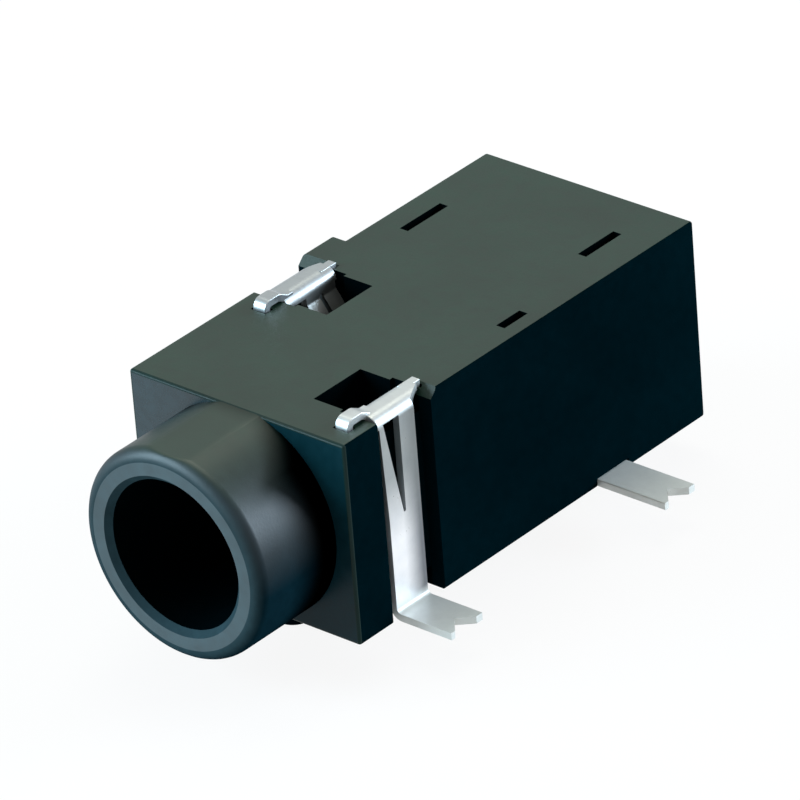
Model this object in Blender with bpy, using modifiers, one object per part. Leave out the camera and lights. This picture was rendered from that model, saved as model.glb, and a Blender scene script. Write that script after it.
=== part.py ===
"""Surface-mount socket for a 3.5 mm audio plug: one moulded housing and four folded contacts.

The barrel's mouth faces -Y, and +Z points away from the circuit board. While the pieces are made,
y is measured from the front face of the housing's block and z from the board's surface. At the
end the origin moves to the board's surface midway between the two locating pegs.
All sizes are in metres.
"""

import math

import bmesh
import bpy
from mathutils import Matrix, Vector

# Housing block. Its top and bottom are flat, and the bore's axis is at half its height.
BODY_LENGTH = 0.0120
BODY_WIDTH = 0.0060
BODY_HEIGHT = 0.0050
CHEEK_PROUD = 0.00018  # how far the left side stands out ahead of its slot
LUG_PROUD = 0.00038  # and how far in the short lug behind the slot
LUG_LENGTH = 0.0012
EDGE_ROUND = 0.00007

# Barrel and bore for the plug. The barrel is flattened above and below, flush with the block.
BARREL_DIAMETER = 0.0051
BARREL_LENGTH = 0.0025
BARREL_FLAT_DROP = 0.00001  # the flats, in from the block's top and underside
BARREL_EDGE_ROUND = 0.00030
BORE_DIAMETER = 0.0036
BORE_LEAD_IN = 0.00026
BORE_REAR_WALL = 0.0004
BORE_END_CHAMFER = 0.0005

# Locating pegs, which enter two holes of the board
PEG_DIAMETER = 0.0012
PEG_LENGTH = 0.0008
PEG_CHAMFER = 0.00015
FIRST_PEG_Y = 0.0012
PEG_PITCH = 0.0070

# Contact sheet
SHEET = 0.00018
BEND_RADIUS = 0.00020  # to the middle of the sheet
CLEARANCE = 0.00004  # between a contact and the plastic that holds it

# Feet, which are soldered to the board
FRONT_FOOT_REACH = 0.00450  # from the middle of the socket to a foot's tip
REAR_FOOT_REACH = 0.0049
FOOT_WIDTH = 0.00105
FOOT_NOTCH_DEPTH = 0.00036
FOOT_NOTCH_WIDTH = 0.00072
FOOT_NOTCH_SHIFT = 0.00008  # the notch's mouth lies a little ahead of the foot's middle

# Front contacts: an outer leg in the side slot, a bridge over the housing's top edge,
# and a forked spring arm that goes down to the bore. The left one is the right one's mirror
# image, further back.
SLOT_Y = 0.00112  # front wall of the right slot
SLOT_LENGTH = 0.00176
SLOT_DEPTH = 0.00036
LEFT_SHIFT = 0.0030  # from the right contact to the left one, along the bore
LEG_SET_BACK = 0.00003  # the leg's outer face, in from the housing's side
LEG_FRONT_GAP = 0.00018  # from the slot's front wall to the leg
BRIDGE_PROUD = 0.00010  # the bridge's top, above the housing's top
BRIDGE_WIDTH = 0.00037  # from the leg to the arm, less one bend
WINDOW_TOP_WIDTH = 0.00052  # tapered window in the leg
WINDOW_TIP_WIDTH = 0.00008
WINDOW_LENGTH = 0.00231  # from the outer bend down to the window's tip
REAR_PRONG_WIDTH = 0.00050
TONGUE_LENGTH = 0.00058  # past the slot's front wall
TONGUE_WIDTH = 0.00036
TONGUE_INSET = 0.00052  # its middle, in from the housing's side
TONGUE_RISE = 0.00014  # above the bridge
TONGUE_END_DROP = 0.00036  # from the tongue's top down to its hooked end
HEEL_LENGTH = 0.00014  # past the slot's rear wall
HEEL_WIDTH = 0.00022
ARM_WIDTH = 0.00098
ARM_REAR_GAP = 0.00012  # from the slot's rear wall to the arm
ARM_SLIT = 0.00012
ARM_SLIT_DROP = 0.0003  # from the housing's top to the slit's upper end
ARM_KNEE_DROP = 0.00040  # from the bridge to where the arm turns to the bore
ARM_KNEE_STEP = 0.00004  # inwards, from the arm's top to that place
ARM_SLOPE_DROP = 0.00055  # from there to where it steepens
ARM_SLOPE_STEP = 0.00040
PLUG_RADIUS = 0.00175
SPRING_BITE = 0.00025  # how far a spring arm reaches into the plug's space
ARM_TAIL_STEP = 0.00029  # outwards, from where the arm touches the plug to its end
ARM_TAIL_DROP = 0.0012
CONTACT_BEND = 0.00050  # radius where an arm touches the plug

# Pockets that take the front contacts' arms, open at the top and into the bore
POCKET_INNER_X = 0.0011
SADDLE_WALL = 0.00030  # between a pocket and its slot
POCKET_END_WALL = 0.0001  # from the slot's ends to the pocket's
POCKET_FLOOR_Z = 0.0009
SADDLE_DROP = 0.0006  # from the housing's top to the wall that the bridge straddles
RELIEF_DEPTH = 0.0008  # how deep the slot is near the board
RELIEF_HEIGHT = 0.0005
SLOT_CHAMFER = 0.00022  # on the top edge behind the slot

# Tip contact, at the rear right
TIP_FOOT_Y = 0.0082
TIP_PLATE_INSET = 0.00053  # its middle, in from the housing's side
TIP_PLATE_FRONT_Y = 0.00595
TIP_TAB_LENGTH = 0.00070
RAIL_HEIGHT = 0.0012
TAB_DROP = 0.0005  # from the housing's top to the tabs' tops
BEAM_WIDTH = 0.0010
BEAM_STRAIGHT = 0.00035  # from the tab to where the beam turns in
TIP_TOUCH_Y = 0.0084
TIP_BITE = 0.00055  # how far the beam reaches into the plug's space
BEAM_REST_Y = 0.0094
BEAM_END_Y = 0.0106

# Switch contact, a stirrup under the bore that the tip contact's beam rests on
SWITCH_FOOT_Y = 0.0082
SWITCH_PLATE_INSET = 0.0008  # its middle, in from the housing's left side
SWITCH_PLATE_LENGTH = 0.0013
SWITCH_BLADE_GAP = 0.00003  # between the bore's wall and the blade, right of the bore
SWITCH_BLADE_FRONT_Y = 0.00965
SWITCH_BLADE_LENGTH = 0.00095

# Rear cavities and the slits in the top that the contacts' tabs stand in
CAVITY_BREAK_IN = 0.00018  # how far the cavity cuts into the bore
CAVITY_ROOF = 0.0007
CAVITY_FLOOR_Z = 0.0005
CAVITY_END_GAP = 0.0001
SLIT_WIDTH = 0.00024
SLIT_END_GAP = 0.00005
BLADE_SLIT_LEAD = 0.00025  # how far the blade's slit starts ahead of it

# Fineness of round shapes, and how far a cutter runs past what it cuts
ROUND_STEPS = 64
PEG_STEPS = 32
BEND_STEPS = 5
OVERRUN = 0.0004
DRAWING_SCALE = 1000.0  # outlines are filled at this scale, because the fill merges close points

# Places that several pieces share
BORE_Z = BODY_HEIGHT / 2.0
HALF_WIDTH = BODY_WIDTH / 2.0
HALF_SHEET = SHEET / 2.0
SLOT_END_Y = SLOT_Y + SLOT_LENGTH
LEG_X = HALF_WIDTH - LEG_SET_BACK - HALF_SHEET
LEG_Y = SLOT_Y + LEG_FRONT_GAP
ARM_X = LEG_X - BRIDGE_WIDTH - BEND_RADIUS
BRIDGE_Z = BODY_HEIGHT + BRIDGE_PROUD - HALF_SHEET
TONGUE_X = HALF_WIDTH - TONGUE_INSET
TONGUE_Z = BRIDGE_Z + TONGUE_RISE
POCKET_OUTER_X = HALF_WIDTH - SLOT_DEPTH - SADDLE_WALL
SADDLE_TOP_Z = BODY_HEIGHT - SADDLE_DROP
TIP_PLATE_X = HALF_WIDTH - TIP_PLATE_INSET
TIP_TOUCH_X = PLUG_RADIUS - TIP_BITE
TAB_TOP_Z = BODY_HEIGHT - TAB_DROP
SWITCH_PLATE_X = HALF_WIDTH - SWITCH_PLATE_INSET
SWITCH_BLADE_X = BORE_DIAMETER / 2.0 + SWITCH_BLADE_GAP + HALF_SHEET
CAVITY_INNER_X = BORE_DIAMETER / 2.0 - CAVITY_BREAK_IN
CAVITY_OUTER_X = TIP_PLATE_X + HALF_SHEET + CLEARANCE
CAVITY_TOP_Z = BODY_HEIGHT - CAVITY_ROOF
FOOT_Z = HALF_SHEET
ORIGIN_Y = FIRST_PEG_Y + PEG_PITCH / 2.0

PLASTIC = ((0.030, 0.038, 0.040, 1.0), 0.42, 0.0)
TINNED = ((0.78, 0.78, 0.76, 1.0), 0.30, 1.0)


def clear_scene():
    """Removes the objects of the open scene."""
    for old in list(bpy.data.objects):
        bpy.data.objects.remove(old, do_unlink=True)


def make_collection(name):
    """A new collection in the scene."""
    made = bpy.data.collections.new(name)
    bpy.context.scene.collection.children.link(made)
    return made


def make_material(name, finish):
    """A plain surface with a colour, a roughness and a metallic value."""
    colour, roughness, metallic = finish
    made = bpy.data.materials.new(name)
    made.use_nodes = True
    shader = made.node_tree.nodes["Principled BSDF"]
    shader.inputs["Base Color"].default_value = colour
    shader.inputs["Roughness"].default_value = roughness
    shader.inputs["Metallic"].default_value = metallic
    made.diffuse_color = colour
    return made


def link(thing, collection):
    """Moves an object to one collection."""
    for old in list(thing.users_collection):
        old.objects.unlink(thing)
    collection.objects.link(thing)
    return thing


def box(name, low, high):
    """A block between two corners."""
    bpy.ops.mesh.primitive_cube_add(size=1.0)
    made = bpy.context.object
    made.name = name
    size = Vector(high) - Vector(low)
    middle = (Vector(high) + Vector(low)) / 2.0
    made.data.transform(Matrix.Translation(middle) @ Matrix.Diagonal((*size, 1.0)))
    return made


def arc(centre, radius, start, end, steps):
    """Points on an arc in a plane, from one angle to another, in radians."""
    points = []
    for step in range(steps + 1):
        angle = start + (end - start) * step / steps
        points.append((centre[0] + radius * math.cos(angle), centre[1] + radius * math.sin(angle)))
    return points


def bent_path(corners):
    """An open path in a plane. Each corner is (a, b, radius), and the radius rounds it."""
    path = [Vector(corners[0][:2])]
    for before, corner, after in zip(corners, corners[1:], corners[2:]):
        here = Vector(corner[:2])
        back = (Vector(before[:2]) - here).normalized()
        ahead = (Vector(after[:2]) - here).normalized()
        half = back.angle(ahead) / 2.0
        reach = corner[2] / math.tan(half)
        centre = here + (back + ahead).normalized() * corner[2] / math.sin(half)
        first = here + back * reach - centre
        sweep = first.angle_signed(here + ahead * reach - centre)
        for step in range(BEND_STEPS + 1):
            turned = Matrix.Rotation(-sweep * step / BEND_STEPS, 2) @ first
            path.append(centre + turned)
    path.append(Vector(corners[-1][:2]))
    return path


def draw(name, points, half_depth, turn, closed):
    """A mesh from an outline in a plane: a filled prism if it is closed, and otherwise a ribbon.

    half_depth is how far it reaches to each side of the plane, and turn stands the plane up.
    """
    curve = bpy.data.curves.new(name, "CURVE")
    curve.dimensions = "2D"
    curve.fill_mode = "BOTH" if closed else "NONE"
    curve.extrude = half_depth * DRAWING_SCALE
    spline = curve.splines.new("POLY")
    spline.points.add(len(points) - 1)
    for spot, point in zip(spline.points, points):
        spot.co = (point[0] * DRAWING_SCALE, point[1] * DRAWING_SCALE, 0.0, 1.0)
    spline.use_cyclic_u = closed
    drawn = bpy.data.objects.new(name, curve)
    bpy.context.scene.collection.objects.link(drawn)
    graph = bpy.context.evaluated_depsgraph_get()
    mesh = bpy.data.meshes.new_from_object(drawn.evaluated_get(graph))
    bpy.data.objects.remove(drawn, do_unlink=True)
    mesh.transform(turn @ Matrix.Scale(1.0 / DRAWING_SCALE, 4))
    shape = bmesh.new()
    shape.from_mesh(mesh)
    bmesh.ops.remove_doubles(shape, verts=shape.verts, dist=1e-7)
    bmesh.ops.recalc_face_normals(shape, faces=shape.faces)
    shape.to_mesh(mesh)
    shape.free()
    made = bpy.data.objects.new(name, mesh)
    bpy.context.scene.collection.objects.link(made)
    return made


def plane_at(axis, place):
    """Stands a drawing up, square to X, Y or Z. Its depth is centred on the given place.

    Square to X it is drawn as (y, z), square to Y as (x, z), and square to Z as (x, y).
    """
    if axis == "X":
        return Matrix.Translation((place, 0.0, 0.0)) @ Matrix(
            ((0, 0, 1, 0), (1, 0, 0, 0), (0, 1, 0, 0), (0, 0, 0, 1))
        )
    if axis == "Y":
        return Matrix.Translation((0.0, place, 0.0)) @ Matrix.Rotation(math.pi / 2.0, 4, "X")
    return Matrix.Translation((0.0, 0.0, place))


def prism(name, outline, axis, low, high):
    """A closed outline made solid between two places along an axis."""
    turn = plane_at(axis, (low + high) / 2.0)
    return draw(name, outline, (high - low) / 2.0, turn, True)


def folded_strip(name, corners, axis, low, high):
    """A strip of the contact sheet, folded along a path and as wide as from low to high."""
    turn = plane_at(axis, (low + high) / 2.0)
    made = draw(name, bent_path(corners), (high - low) / 2.0, turn, False)
    thicken = made.modifiers.new("sheet", "SOLIDIFY")
    thicken.thickness = SHEET
    thicken.offset = 0.0
    thicken.use_even_offset = True
    return made


def turned(name, profile, turn, steps):
    """A turned solid. The profile is (radius, height), from the axis at its top to its bottom."""
    mesh = bpy.data.meshes.new(name)
    line = bmesh.new()
    verts = [line.verts.new((radius, 0.0, height)) for radius, height in profile]
    for upper, lower in zip(verts, verts[1:]):
        line.edges.new((upper, lower))
    line.to_mesh(mesh)
    line.free()
    made = bpy.data.objects.new(name, mesh)
    bpy.context.scene.collection.objects.link(made)
    made.matrix_world = turn
    lathe = made.modifiers.new("lathe", "SCREW")
    lathe.axis = "Z"
    lathe.angle = math.tau
    lathe.steps = steps
    lathe.render_steps = steps
    lathe.use_merge_vertices = True
    lathe.merge_threshold = 1e-7
    return made


def combine(target, shapes, operation, tools):
    """Joins shapes to the target, or cuts them out of it, all in one step.

    The shapes are tools: they are kept in a collection of their own and aren't part of the model.
    """
    group = bpy.data.collections.new(f"{target.name}_{operation.lower()}")
    tools.children.link(group)
    for shape in shapes:
        link(shape, group)
        shape.hide_render = True
        shape.display_type = "WIRE"
    step = target.modifiers.new(group.name, "BOOLEAN")
    step.operation = operation
    step.solver = "EXACT"
    step.operand_type = "COLLECTION"
    step.collection = group
    return step


def round_edges(thing, width, steps):
    """Rounds the square edges of a block."""
    bevel = thing.modifiers.new("rounding", "BEVEL")
    bevel.width = width
    bevel.segments = steps
    bevel.limit_method = "ANGLE"
    bevel.angle_limit = math.radians(40.0)
    return thing


def to_left(thing):
    """Mirrors a shape from the right slot's place to the left slot's."""
    thing.data.transform(Matrix.Translation((0.0, LEFT_SHIFT, 0.0)) @ Matrix.Scale(-1.0, 4, (1, 0, 0)))
    thing.data.flip_normals()
    return thing


def housing_block():
    """The outer block: an outline from above, open where the left slot is cut later."""
    cheek = -HALF_WIDTH - CHEEK_PROUD
    lug = -HALF_WIDTH - LUG_PROUD
    gap = -HALF_WIDTH + SLOT_DEPTH / 2.0
    gap_front = SLOT_Y + LEFT_SHIFT + SLOT_LENGTH / 4.0
    gap_rear = SLOT_END_Y + LEFT_SHIFT - SLOT_LENGTH / 4.0
    lug_end = SLOT_END_Y + LEFT_SHIFT + LUG_LENGTH
    outline = [
        (cheek, 0.0),
        (HALF_WIDTH, 0.0),
        (HALF_WIDTH, BODY_LENGTH),
        (-HALF_WIDTH, BODY_LENGTH),
        (-HALF_WIDTH, lug_end),
        (lug, lug_end),
        (lug, gap_rear),
        (gap, gap_rear),
        (gap, gap_front),
        (cheek, gap_front),
    ]
    return round_edges(prism("housing", outline, "Z", 0.0, BODY_HEIGHT), EDGE_ROUND, 2)


def barrel():
    """The barrel: turned with a rounded rim, flattened above and below, its root in the block."""
    outer = BARREL_DIAMETER / 2.0
    rim = (outer - BARREL_EDGE_ROUND, BARREL_LENGTH - BARREL_EDGE_ROUND)
    profile = [(0.0, BARREL_LENGTH)]
    profile += arc(rim, BARREL_EDGE_ROUND, math.pi / 2.0, 0.0, BEND_STEPS)
    profile += [(outer, -2.0 * OVERRUN), (0.0, -2.0 * OVERRUN)]
    lathe = turned("barrel_lathe", profile, bore_line(), ROUND_STEPS)
    graph = bpy.context.evaluated_depsgraph_get()
    mesh = bpy.data.meshes.new_from_object(lathe.evaluated_get(graph))
    bpy.data.objects.remove(lathe, do_unlink=True)
    mesh.transform(bore_line())
    low = BARREL_FLAT_DROP
    high = BODY_HEIGHT - BARREL_FLAT_DROP
    for vert in mesh.vertices:
        vert.co.z = max(low, min(high, vert.co.z))
    made = bpy.data.objects.new("barrel", mesh)
    bpy.context.scene.collection.objects.link(made)
    return made


def bore():
    """The cutter for the bore, with the lead-in at its mouth and the chamfer at its blind end."""
    inner = BORE_DIAMETER / 2.0
    end = BORE_REAR_WALL - BODY_LENGTH
    profile = [
        (0.0, BARREL_LENGTH + OVERRUN),
        (inner + BORE_LEAD_IN + OVERRUN, BARREL_LENGTH + OVERRUN),
        (inner, BARREL_LENGTH - BORE_LEAD_IN),
        (inner, end + BORE_END_CHAMFER),
        (inner - BORE_END_CHAMFER, end),
        (0.0, end),
    ]
    return turned("bore", profile, bore_line(), ROUND_STEPS)


def bore_line():
    """Lays a turned shape along the bore, with its top at the mouth."""
    return Matrix.Translation((0.0, 0.0, BORE_Z)) @ Matrix.Rotation(math.pi / 2.0, 4, "X")


def peg(number):
    """A locating peg on the underside, with a chamfered end."""
    radius = PEG_DIAMETER / 2.0
    spot = Vector((0.0, FIRST_PEG_Y + number * PEG_PITCH, 0.0))
    down = Matrix.Translation(spot) @ Matrix.Rotation(math.pi, 4, "X")
    profile = [
        (0.0, PEG_LENGTH),
        (radius - PEG_CHAMFER, PEG_LENGTH),
        (radius, PEG_LENGTH - PEG_CHAMFER),
        (radius, -OVERRUN),
        (0.0, -OVERRUN),
    ]
    return turned(f"peg_{number + 1}", profile, down, PEG_STEPS)


def front_cuts(side_name):
    """The cutters for one front contact, in the right side's place."""
    side = HALF_WIDTH + LUG_PROUD + OVERRUN
    top = BODY_HEIGHT + OVERRUN
    yield box(
        f"{side_name}_slot",
        (HALF_WIDTH - SLOT_DEPTH, SLOT_Y, -OVERRUN),
        (side, SLOT_END_Y, top),
    )
    yield box(
        f"{side_name}_relief",
        (HALF_WIDTH - RELIEF_DEPTH, SLOT_Y, -OVERRUN),
        (side, SLOT_END_Y, RELIEF_HEIGHT),
    )
    yield box(
        f"{side_name}_pocket",
        (POCKET_INNER_X, SLOT_Y + POCKET_END_WALL, POCKET_FLOOR_Z),
        (POCKET_OUTER_X, SLOT_END_Y - POCKET_END_WALL, top),
    )
    yield box(
        f"{side_name}_saddle",
        (POCKET_OUTER_X - OVERRUN, SLOT_Y, SADDLE_TOP_Z),
        (side, SLOT_END_Y, top),
    )
    half_tongue = TONGUE_WIDTH / 2.0 + CLEARANCE
    half_heel = HEEL_WIDTH / 2.0 + CLEARANCE
    heel_end = SLOT_END_Y + HEEL_LENGTH + CLEARANCE
    yield box(
        f"{side_name}_heel_seat",
        (TONGUE_X - half_heel, SLOT_END_Y - OVERRUN, BRIDGE_Z - HALF_SHEET - CLEARANCE),
        (TONGUE_X + half_heel, heel_end, top),
    )
    tongue_end = SLOT_Y - TONGUE_LENGTH
    yield box(
        f"{side_name}_tongue_seat",
        (TONGUE_X - half_tongue, tongue_end - CLEARANCE, TONGUE_Z - TONGUE_END_DROP - CLEARANCE),
        (TONGUE_X + half_tongue, tongue_end + SHEET + CLEARANCE, top),
    )
    behind = SLOT_END_Y
    chamfer = [
        (behind - SLOT_CHAMFER, BODY_HEIGHT + SLOT_CHAMFER),
        (behind - SLOT_CHAMFER, BODY_HEIGHT - SLOT_CHAMFER),
        (behind, BODY_HEIGHT - SLOT_CHAMFER),
        (behind + 2.0 * SLOT_CHAMFER, BODY_HEIGHT + SLOT_CHAMFER),
    ]
    yield prism(f"{side_name}_slot_chamfer", chamfer, "X", POCKET_OUTER_X, side)


def rear_cuts():
    """The cutters for the tip and switch contacts: cavities, channels, exits and top slits."""
    side = HALF_WIDTH + LUG_PROUD + OVERRUN
    top = BODY_HEIGHT + OVERRUN
    under = -OVERRUN
    foot_top = SHEET + CLEARANCE
    half_fit = HALF_SHEET + CLEARANCE
    half_slit = SLIT_WIDTH / 2.0
    blade_end = SWITCH_BLADE_FRONT_Y + SWITCH_BLADE_LENGTH
    plate_end = SWITCH_FOOT_Y + SWITCH_PLATE_LENGTH
    foot_end = TIP_FOOT_Y + FOOT_WIDTH

    yield box(
        "tip_cavity",
        (CAVITY_INNER_X, TIP_PLATE_FRONT_Y - CAVITY_END_GAP, CAVITY_FLOOR_Z),
        (CAVITY_OUTER_X, BEAM_END_Y + CAVITY_END_GAP, CAVITY_TOP_Z),
    )
    yield box(
        "tip_entry",
        (TIP_PLATE_X - half_fit, TIP_PLATE_FRONT_Y - CLEARANCE, under),
        (CAVITY_OUTER_X, foot_end + CLEARANCE, CAVITY_FLOOR_Z + CLEARANCE),
    )
    yield box(
        "tip_foot_exit",
        (TIP_PLATE_X, TIP_FOOT_Y - CLEARANCE, under),
        (side, foot_end + CLEARANCE, foot_top),
    )
    yield box(
        "tip_slit",
        (TIP_PLATE_X - half_slit, TIP_PLATE_FRONT_Y - SLIT_END_GAP, CAVITY_TOP_Z - OVERRUN),
        (
            TIP_PLATE_X + half_slit,
            TIP_PLATE_FRONT_Y + TIP_TAB_LENGTH + SLIT_END_GAP,
            top,
        ),
    )
    yield box(
        "blade_entry",
        (SWITCH_BLADE_X - half_fit, SWITCH_BLADE_FRONT_Y - CLEARANCE, under),
        (SWITCH_BLADE_X + half_fit, blade_end + CLEARANCE, CAVITY_TOP_Z),
    )
    yield box(
        "blade_slit",
        (
            SWITCH_BLADE_X - half_slit,
            SWITCH_BLADE_FRONT_Y - BLADE_SLIT_LEAD,
            CAVITY_TOP_Z - OVERRUN,
        ),
        (SWITCH_BLADE_X + half_slit, blade_end + SLIT_END_GAP, top),
    )
    yield box(
        "switch_slit",
        (-SWITCH_PLATE_X - half_slit, SWITCH_FOOT_Y - SLIT_END_GAP, under),
        (-SWITCH_PLATE_X + half_slit, plate_end + SLIT_END_GAP, top),
    )
    yield box(
        "switch_rail_entry",
        (-SWITCH_PLATE_X - half_fit, SWITCH_FOOT_Y, under),
        (-SWITCH_PLATE_X + half_fit, blade_end + CLEARANCE, RAIL_HEIGHT + CLEARANCE),
    )
    yield box(
        "switch_channel",
        (-SWITCH_PLATE_X, SWITCH_BLADE_FRONT_Y - CLEARANCE, under),
        (SWITCH_BLADE_X, blade_end + CLEARANCE, foot_top),
    )
    yield box(
        "switch_foot_exit",
        (-side, SWITCH_FOOT_Y - CLEARANCE, under),
        (-SWITCH_PLATE_X, SWITCH_FOOT_Y + FOOT_WIDTH + CLEARANCE, foot_top),
    )


def build_housing(tools):
    """The moulded housing."""
    block = housing_block()
    combine(block, [barrel(), peg(0), peg(1)], "UNION", tools)
    cuts = [bore()]
    cuts += front_cuts("right")
    cuts += [to_left(cut) for cut in front_cuts("left")]
    cuts += rear_cuts()
    combine(block, cuts, "DIFFERENCE", tools)
    return block


def foot_notch(name, low_y, reach, side):
    """The V that is cut in a foot's tip. side is 1 on the right and -1 on the left."""
    middle = low_y + FOOT_WIDTH / 2.0
    mouth = middle - FOOT_NOTCH_SHIFT
    slope = FOOT_NOTCH_WIDTH / 2.0 / FOOT_NOTCH_DEPTH
    widen = FOOT_NOTCH_WIDTH / 2.0 + OVERRUN * slope
    tip = reach + OVERRUN
    outline = [
        (side * tip, mouth - widen),
        (side * tip, mouth + widen),
        (side * (reach - FOOT_NOTCH_DEPTH), middle),
    ]
    return prism(name, outline, "Z", -OVERRUN, SHEET + OVERRUN)


def rear_foot(name, side, plate_x, low_y):
    """A rear contact's foot on the board, bent up into its upright plate at plate_x."""
    corners = [
        (side * REAR_FOOT_REACH, FOOT_Z, 0.0),
        (side * plate_x, FOOT_Z, BEND_RADIUS),
        (side * plate_x, RAIL_HEIGHT, 0.0),
    ]
    return folded_strip(name, corners, "Y", low_y, low_y + FOOT_WIDTH)


def front_strip(name):
    """A front contact's strip before it is trimmed, from its foot to the end of its arm."""
    touch_x = PLUG_RADIUS - SPRING_BITE + HALF_SHEET
    knee_x = ARM_X - ARM_KNEE_STEP
    knee_z = BRIDGE_Z - ARM_KNEE_DROP
    corners = [
        (FRONT_FOOT_REACH, FOOT_Z, 0.0),
        (LEG_X, FOOT_Z, BEND_RADIUS),
        (LEG_X, BRIDGE_Z, BEND_RADIUS),
        (ARM_X, BRIDGE_Z, BEND_RADIUS),
        (knee_x, knee_z, BEND_RADIUS),
        (knee_x - ARM_SLOPE_STEP, knee_z - ARM_SLOPE_DROP, CONTACT_BEND),
        (touch_x, BORE_Z, CONTACT_BEND),
        (touch_x + ARM_TAIL_STEP, BORE_Z - ARM_TAIL_DROP, 0.0),
    ]
    return folded_strip(name, corners, "Y", SLOT_Y + CLEARANCE, SLOT_END_Y - CLEARANCE)


def tongue_and_heel(name):
    """The hooked tongue ahead of the bridge and the flat heel behind it."""
    half_tongue = TONGUE_WIDTH / 2.0
    half_heel = HEEL_WIDTH / 2.0
    tongue_y = SLOT_Y - TONGUE_LENGTH + HALF_SHEET
    tongue_path = [
        (SLOT_Y + 2.0 * SHEET, BRIDGE_Z, 0.0),
        (SLOT_Y + SHEET, BRIDGE_Z, SHEET),
        (SLOT_Y - HALF_SHEET, TONGUE_Z, SHEET),
        (tongue_y, TONGUE_Z, HALF_SHEET + CLEARANCE),
        (tongue_y, TONGUE_Z - TONGUE_END_DROP, 0.0),
    ]
    heel_path = [
        (SLOT_END_Y - 2.0 * SHEET, BRIDGE_Z, 0.0),
        (SLOT_END_Y + HEEL_LENGTH, BRIDGE_Z, 0.0),
    ]
    yield folded_strip(
        f"{name}_tongue", tongue_path, "X", TONGUE_X - half_tongue, TONGUE_X + half_tongue
    )
    yield folded_strip(f"{name}_heel", heel_path, "X", TONGUE_X - half_heel, TONGUE_X + half_heel)


def front_trims(name):
    """The cutters that give a front contact's strip its outline, window and slit."""
    low = SLOT_Y - OVERRUN
    high = SLOT_END_Y + OVERRUN
    leg_inner_x = LEG_X - HALF_SHEET - CLEARANCE
    leg_top = BRIDGE_Z - BEND_RADIUS
    leg_end_y = LEG_Y + FOOT_WIDTH
    past_tip = FRONT_FOOT_REACH + OVERRUN
    front_edge = [
        (low, -OVERRUN),
        (LEG_Y, -OVERRUN),
        (LEG_Y, BORE_Z),
        (SLOT_Y + 2.0 * CLEARANCE, leg_top),
        (low, leg_top),
    ]
    yield prism(f"{name}_front_trim", front_edge, "X", leg_inner_x, past_tip)
    rear_edge = [
        (TONGUE_X + TONGUE_WIDTH / 2.0, high),
        (TONGUE_X + TONGUE_WIDTH / 2.0, SLOT_END_Y - 2.0 * CLEARANCE),
        (LEG_X, leg_end_y),
        (past_tip, leg_end_y),
        (past_tip, high),
    ]
    yield prism(f"{name}_rear_trim", rear_edge, "Z", -OVERRUN, TONGUE_Z + OVERRUN)
    window_rear = leg_end_y - REAR_PRONG_WIDTH
    window = [
        (window_rear, leg_top - WINDOW_LENGTH),
        (window_rear, BRIDGE_Z - HALF_SHEET - CLEARANCE),
        (window_rear - WINDOW_TOP_WIDTH, BRIDGE_Z - HALF_SHEET - CLEARANCE),
        (window_rear - WINDOW_TIP_WIDTH, leg_top - WINDOW_LENGTH),
    ]
    yield prism(f"{name}_window", window, "X", ARM_X + SHEET, LEG_X + SHEET)

    arm_high = SLOT_END_Y - ARM_REAR_GAP
    arm_low = arm_high - ARM_WIDTH
    slit_low = (arm_low + arm_high - ARM_SLIT) / 2.0
    past_arm = ARM_X + HALF_SHEET + CLEARANCE
    slit_top = BODY_HEIGHT - ARM_SLIT_DROP
    yield box(f"{name}_arm_front_trim", (0.0, low, 0.0), (past_arm, arm_low, leg_top))
    yield box(f"{name}_arm_rear_trim", (0.0, arm_high, 0.0), (past_arm, high, leg_top))
    yield box(f"{name}_arm_slit", (0.0, slit_low, 0.0), (past_arm, slit_low + ARM_SLIT, slit_top))
    yield foot_notch(f"{name}_foot_notch", LEG_Y, FRONT_FOOT_REACH, 1.0)


def build_front_contact(name, tools, on_left):
    """A front contact: foot, leg with window, bridge with tongue and heel, and forked arm."""
    strip = front_strip(name)
    lugs = list(tongue_and_heel(name))
    trims = list(front_trims(name))
    if on_left:
        for shape in [strip] + lugs + trims:
            to_left(shape)
    combine(strip, lugs, "UNION", tools)
    combine(strip, trims, "DIFFERENCE", tools)
    return strip


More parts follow.
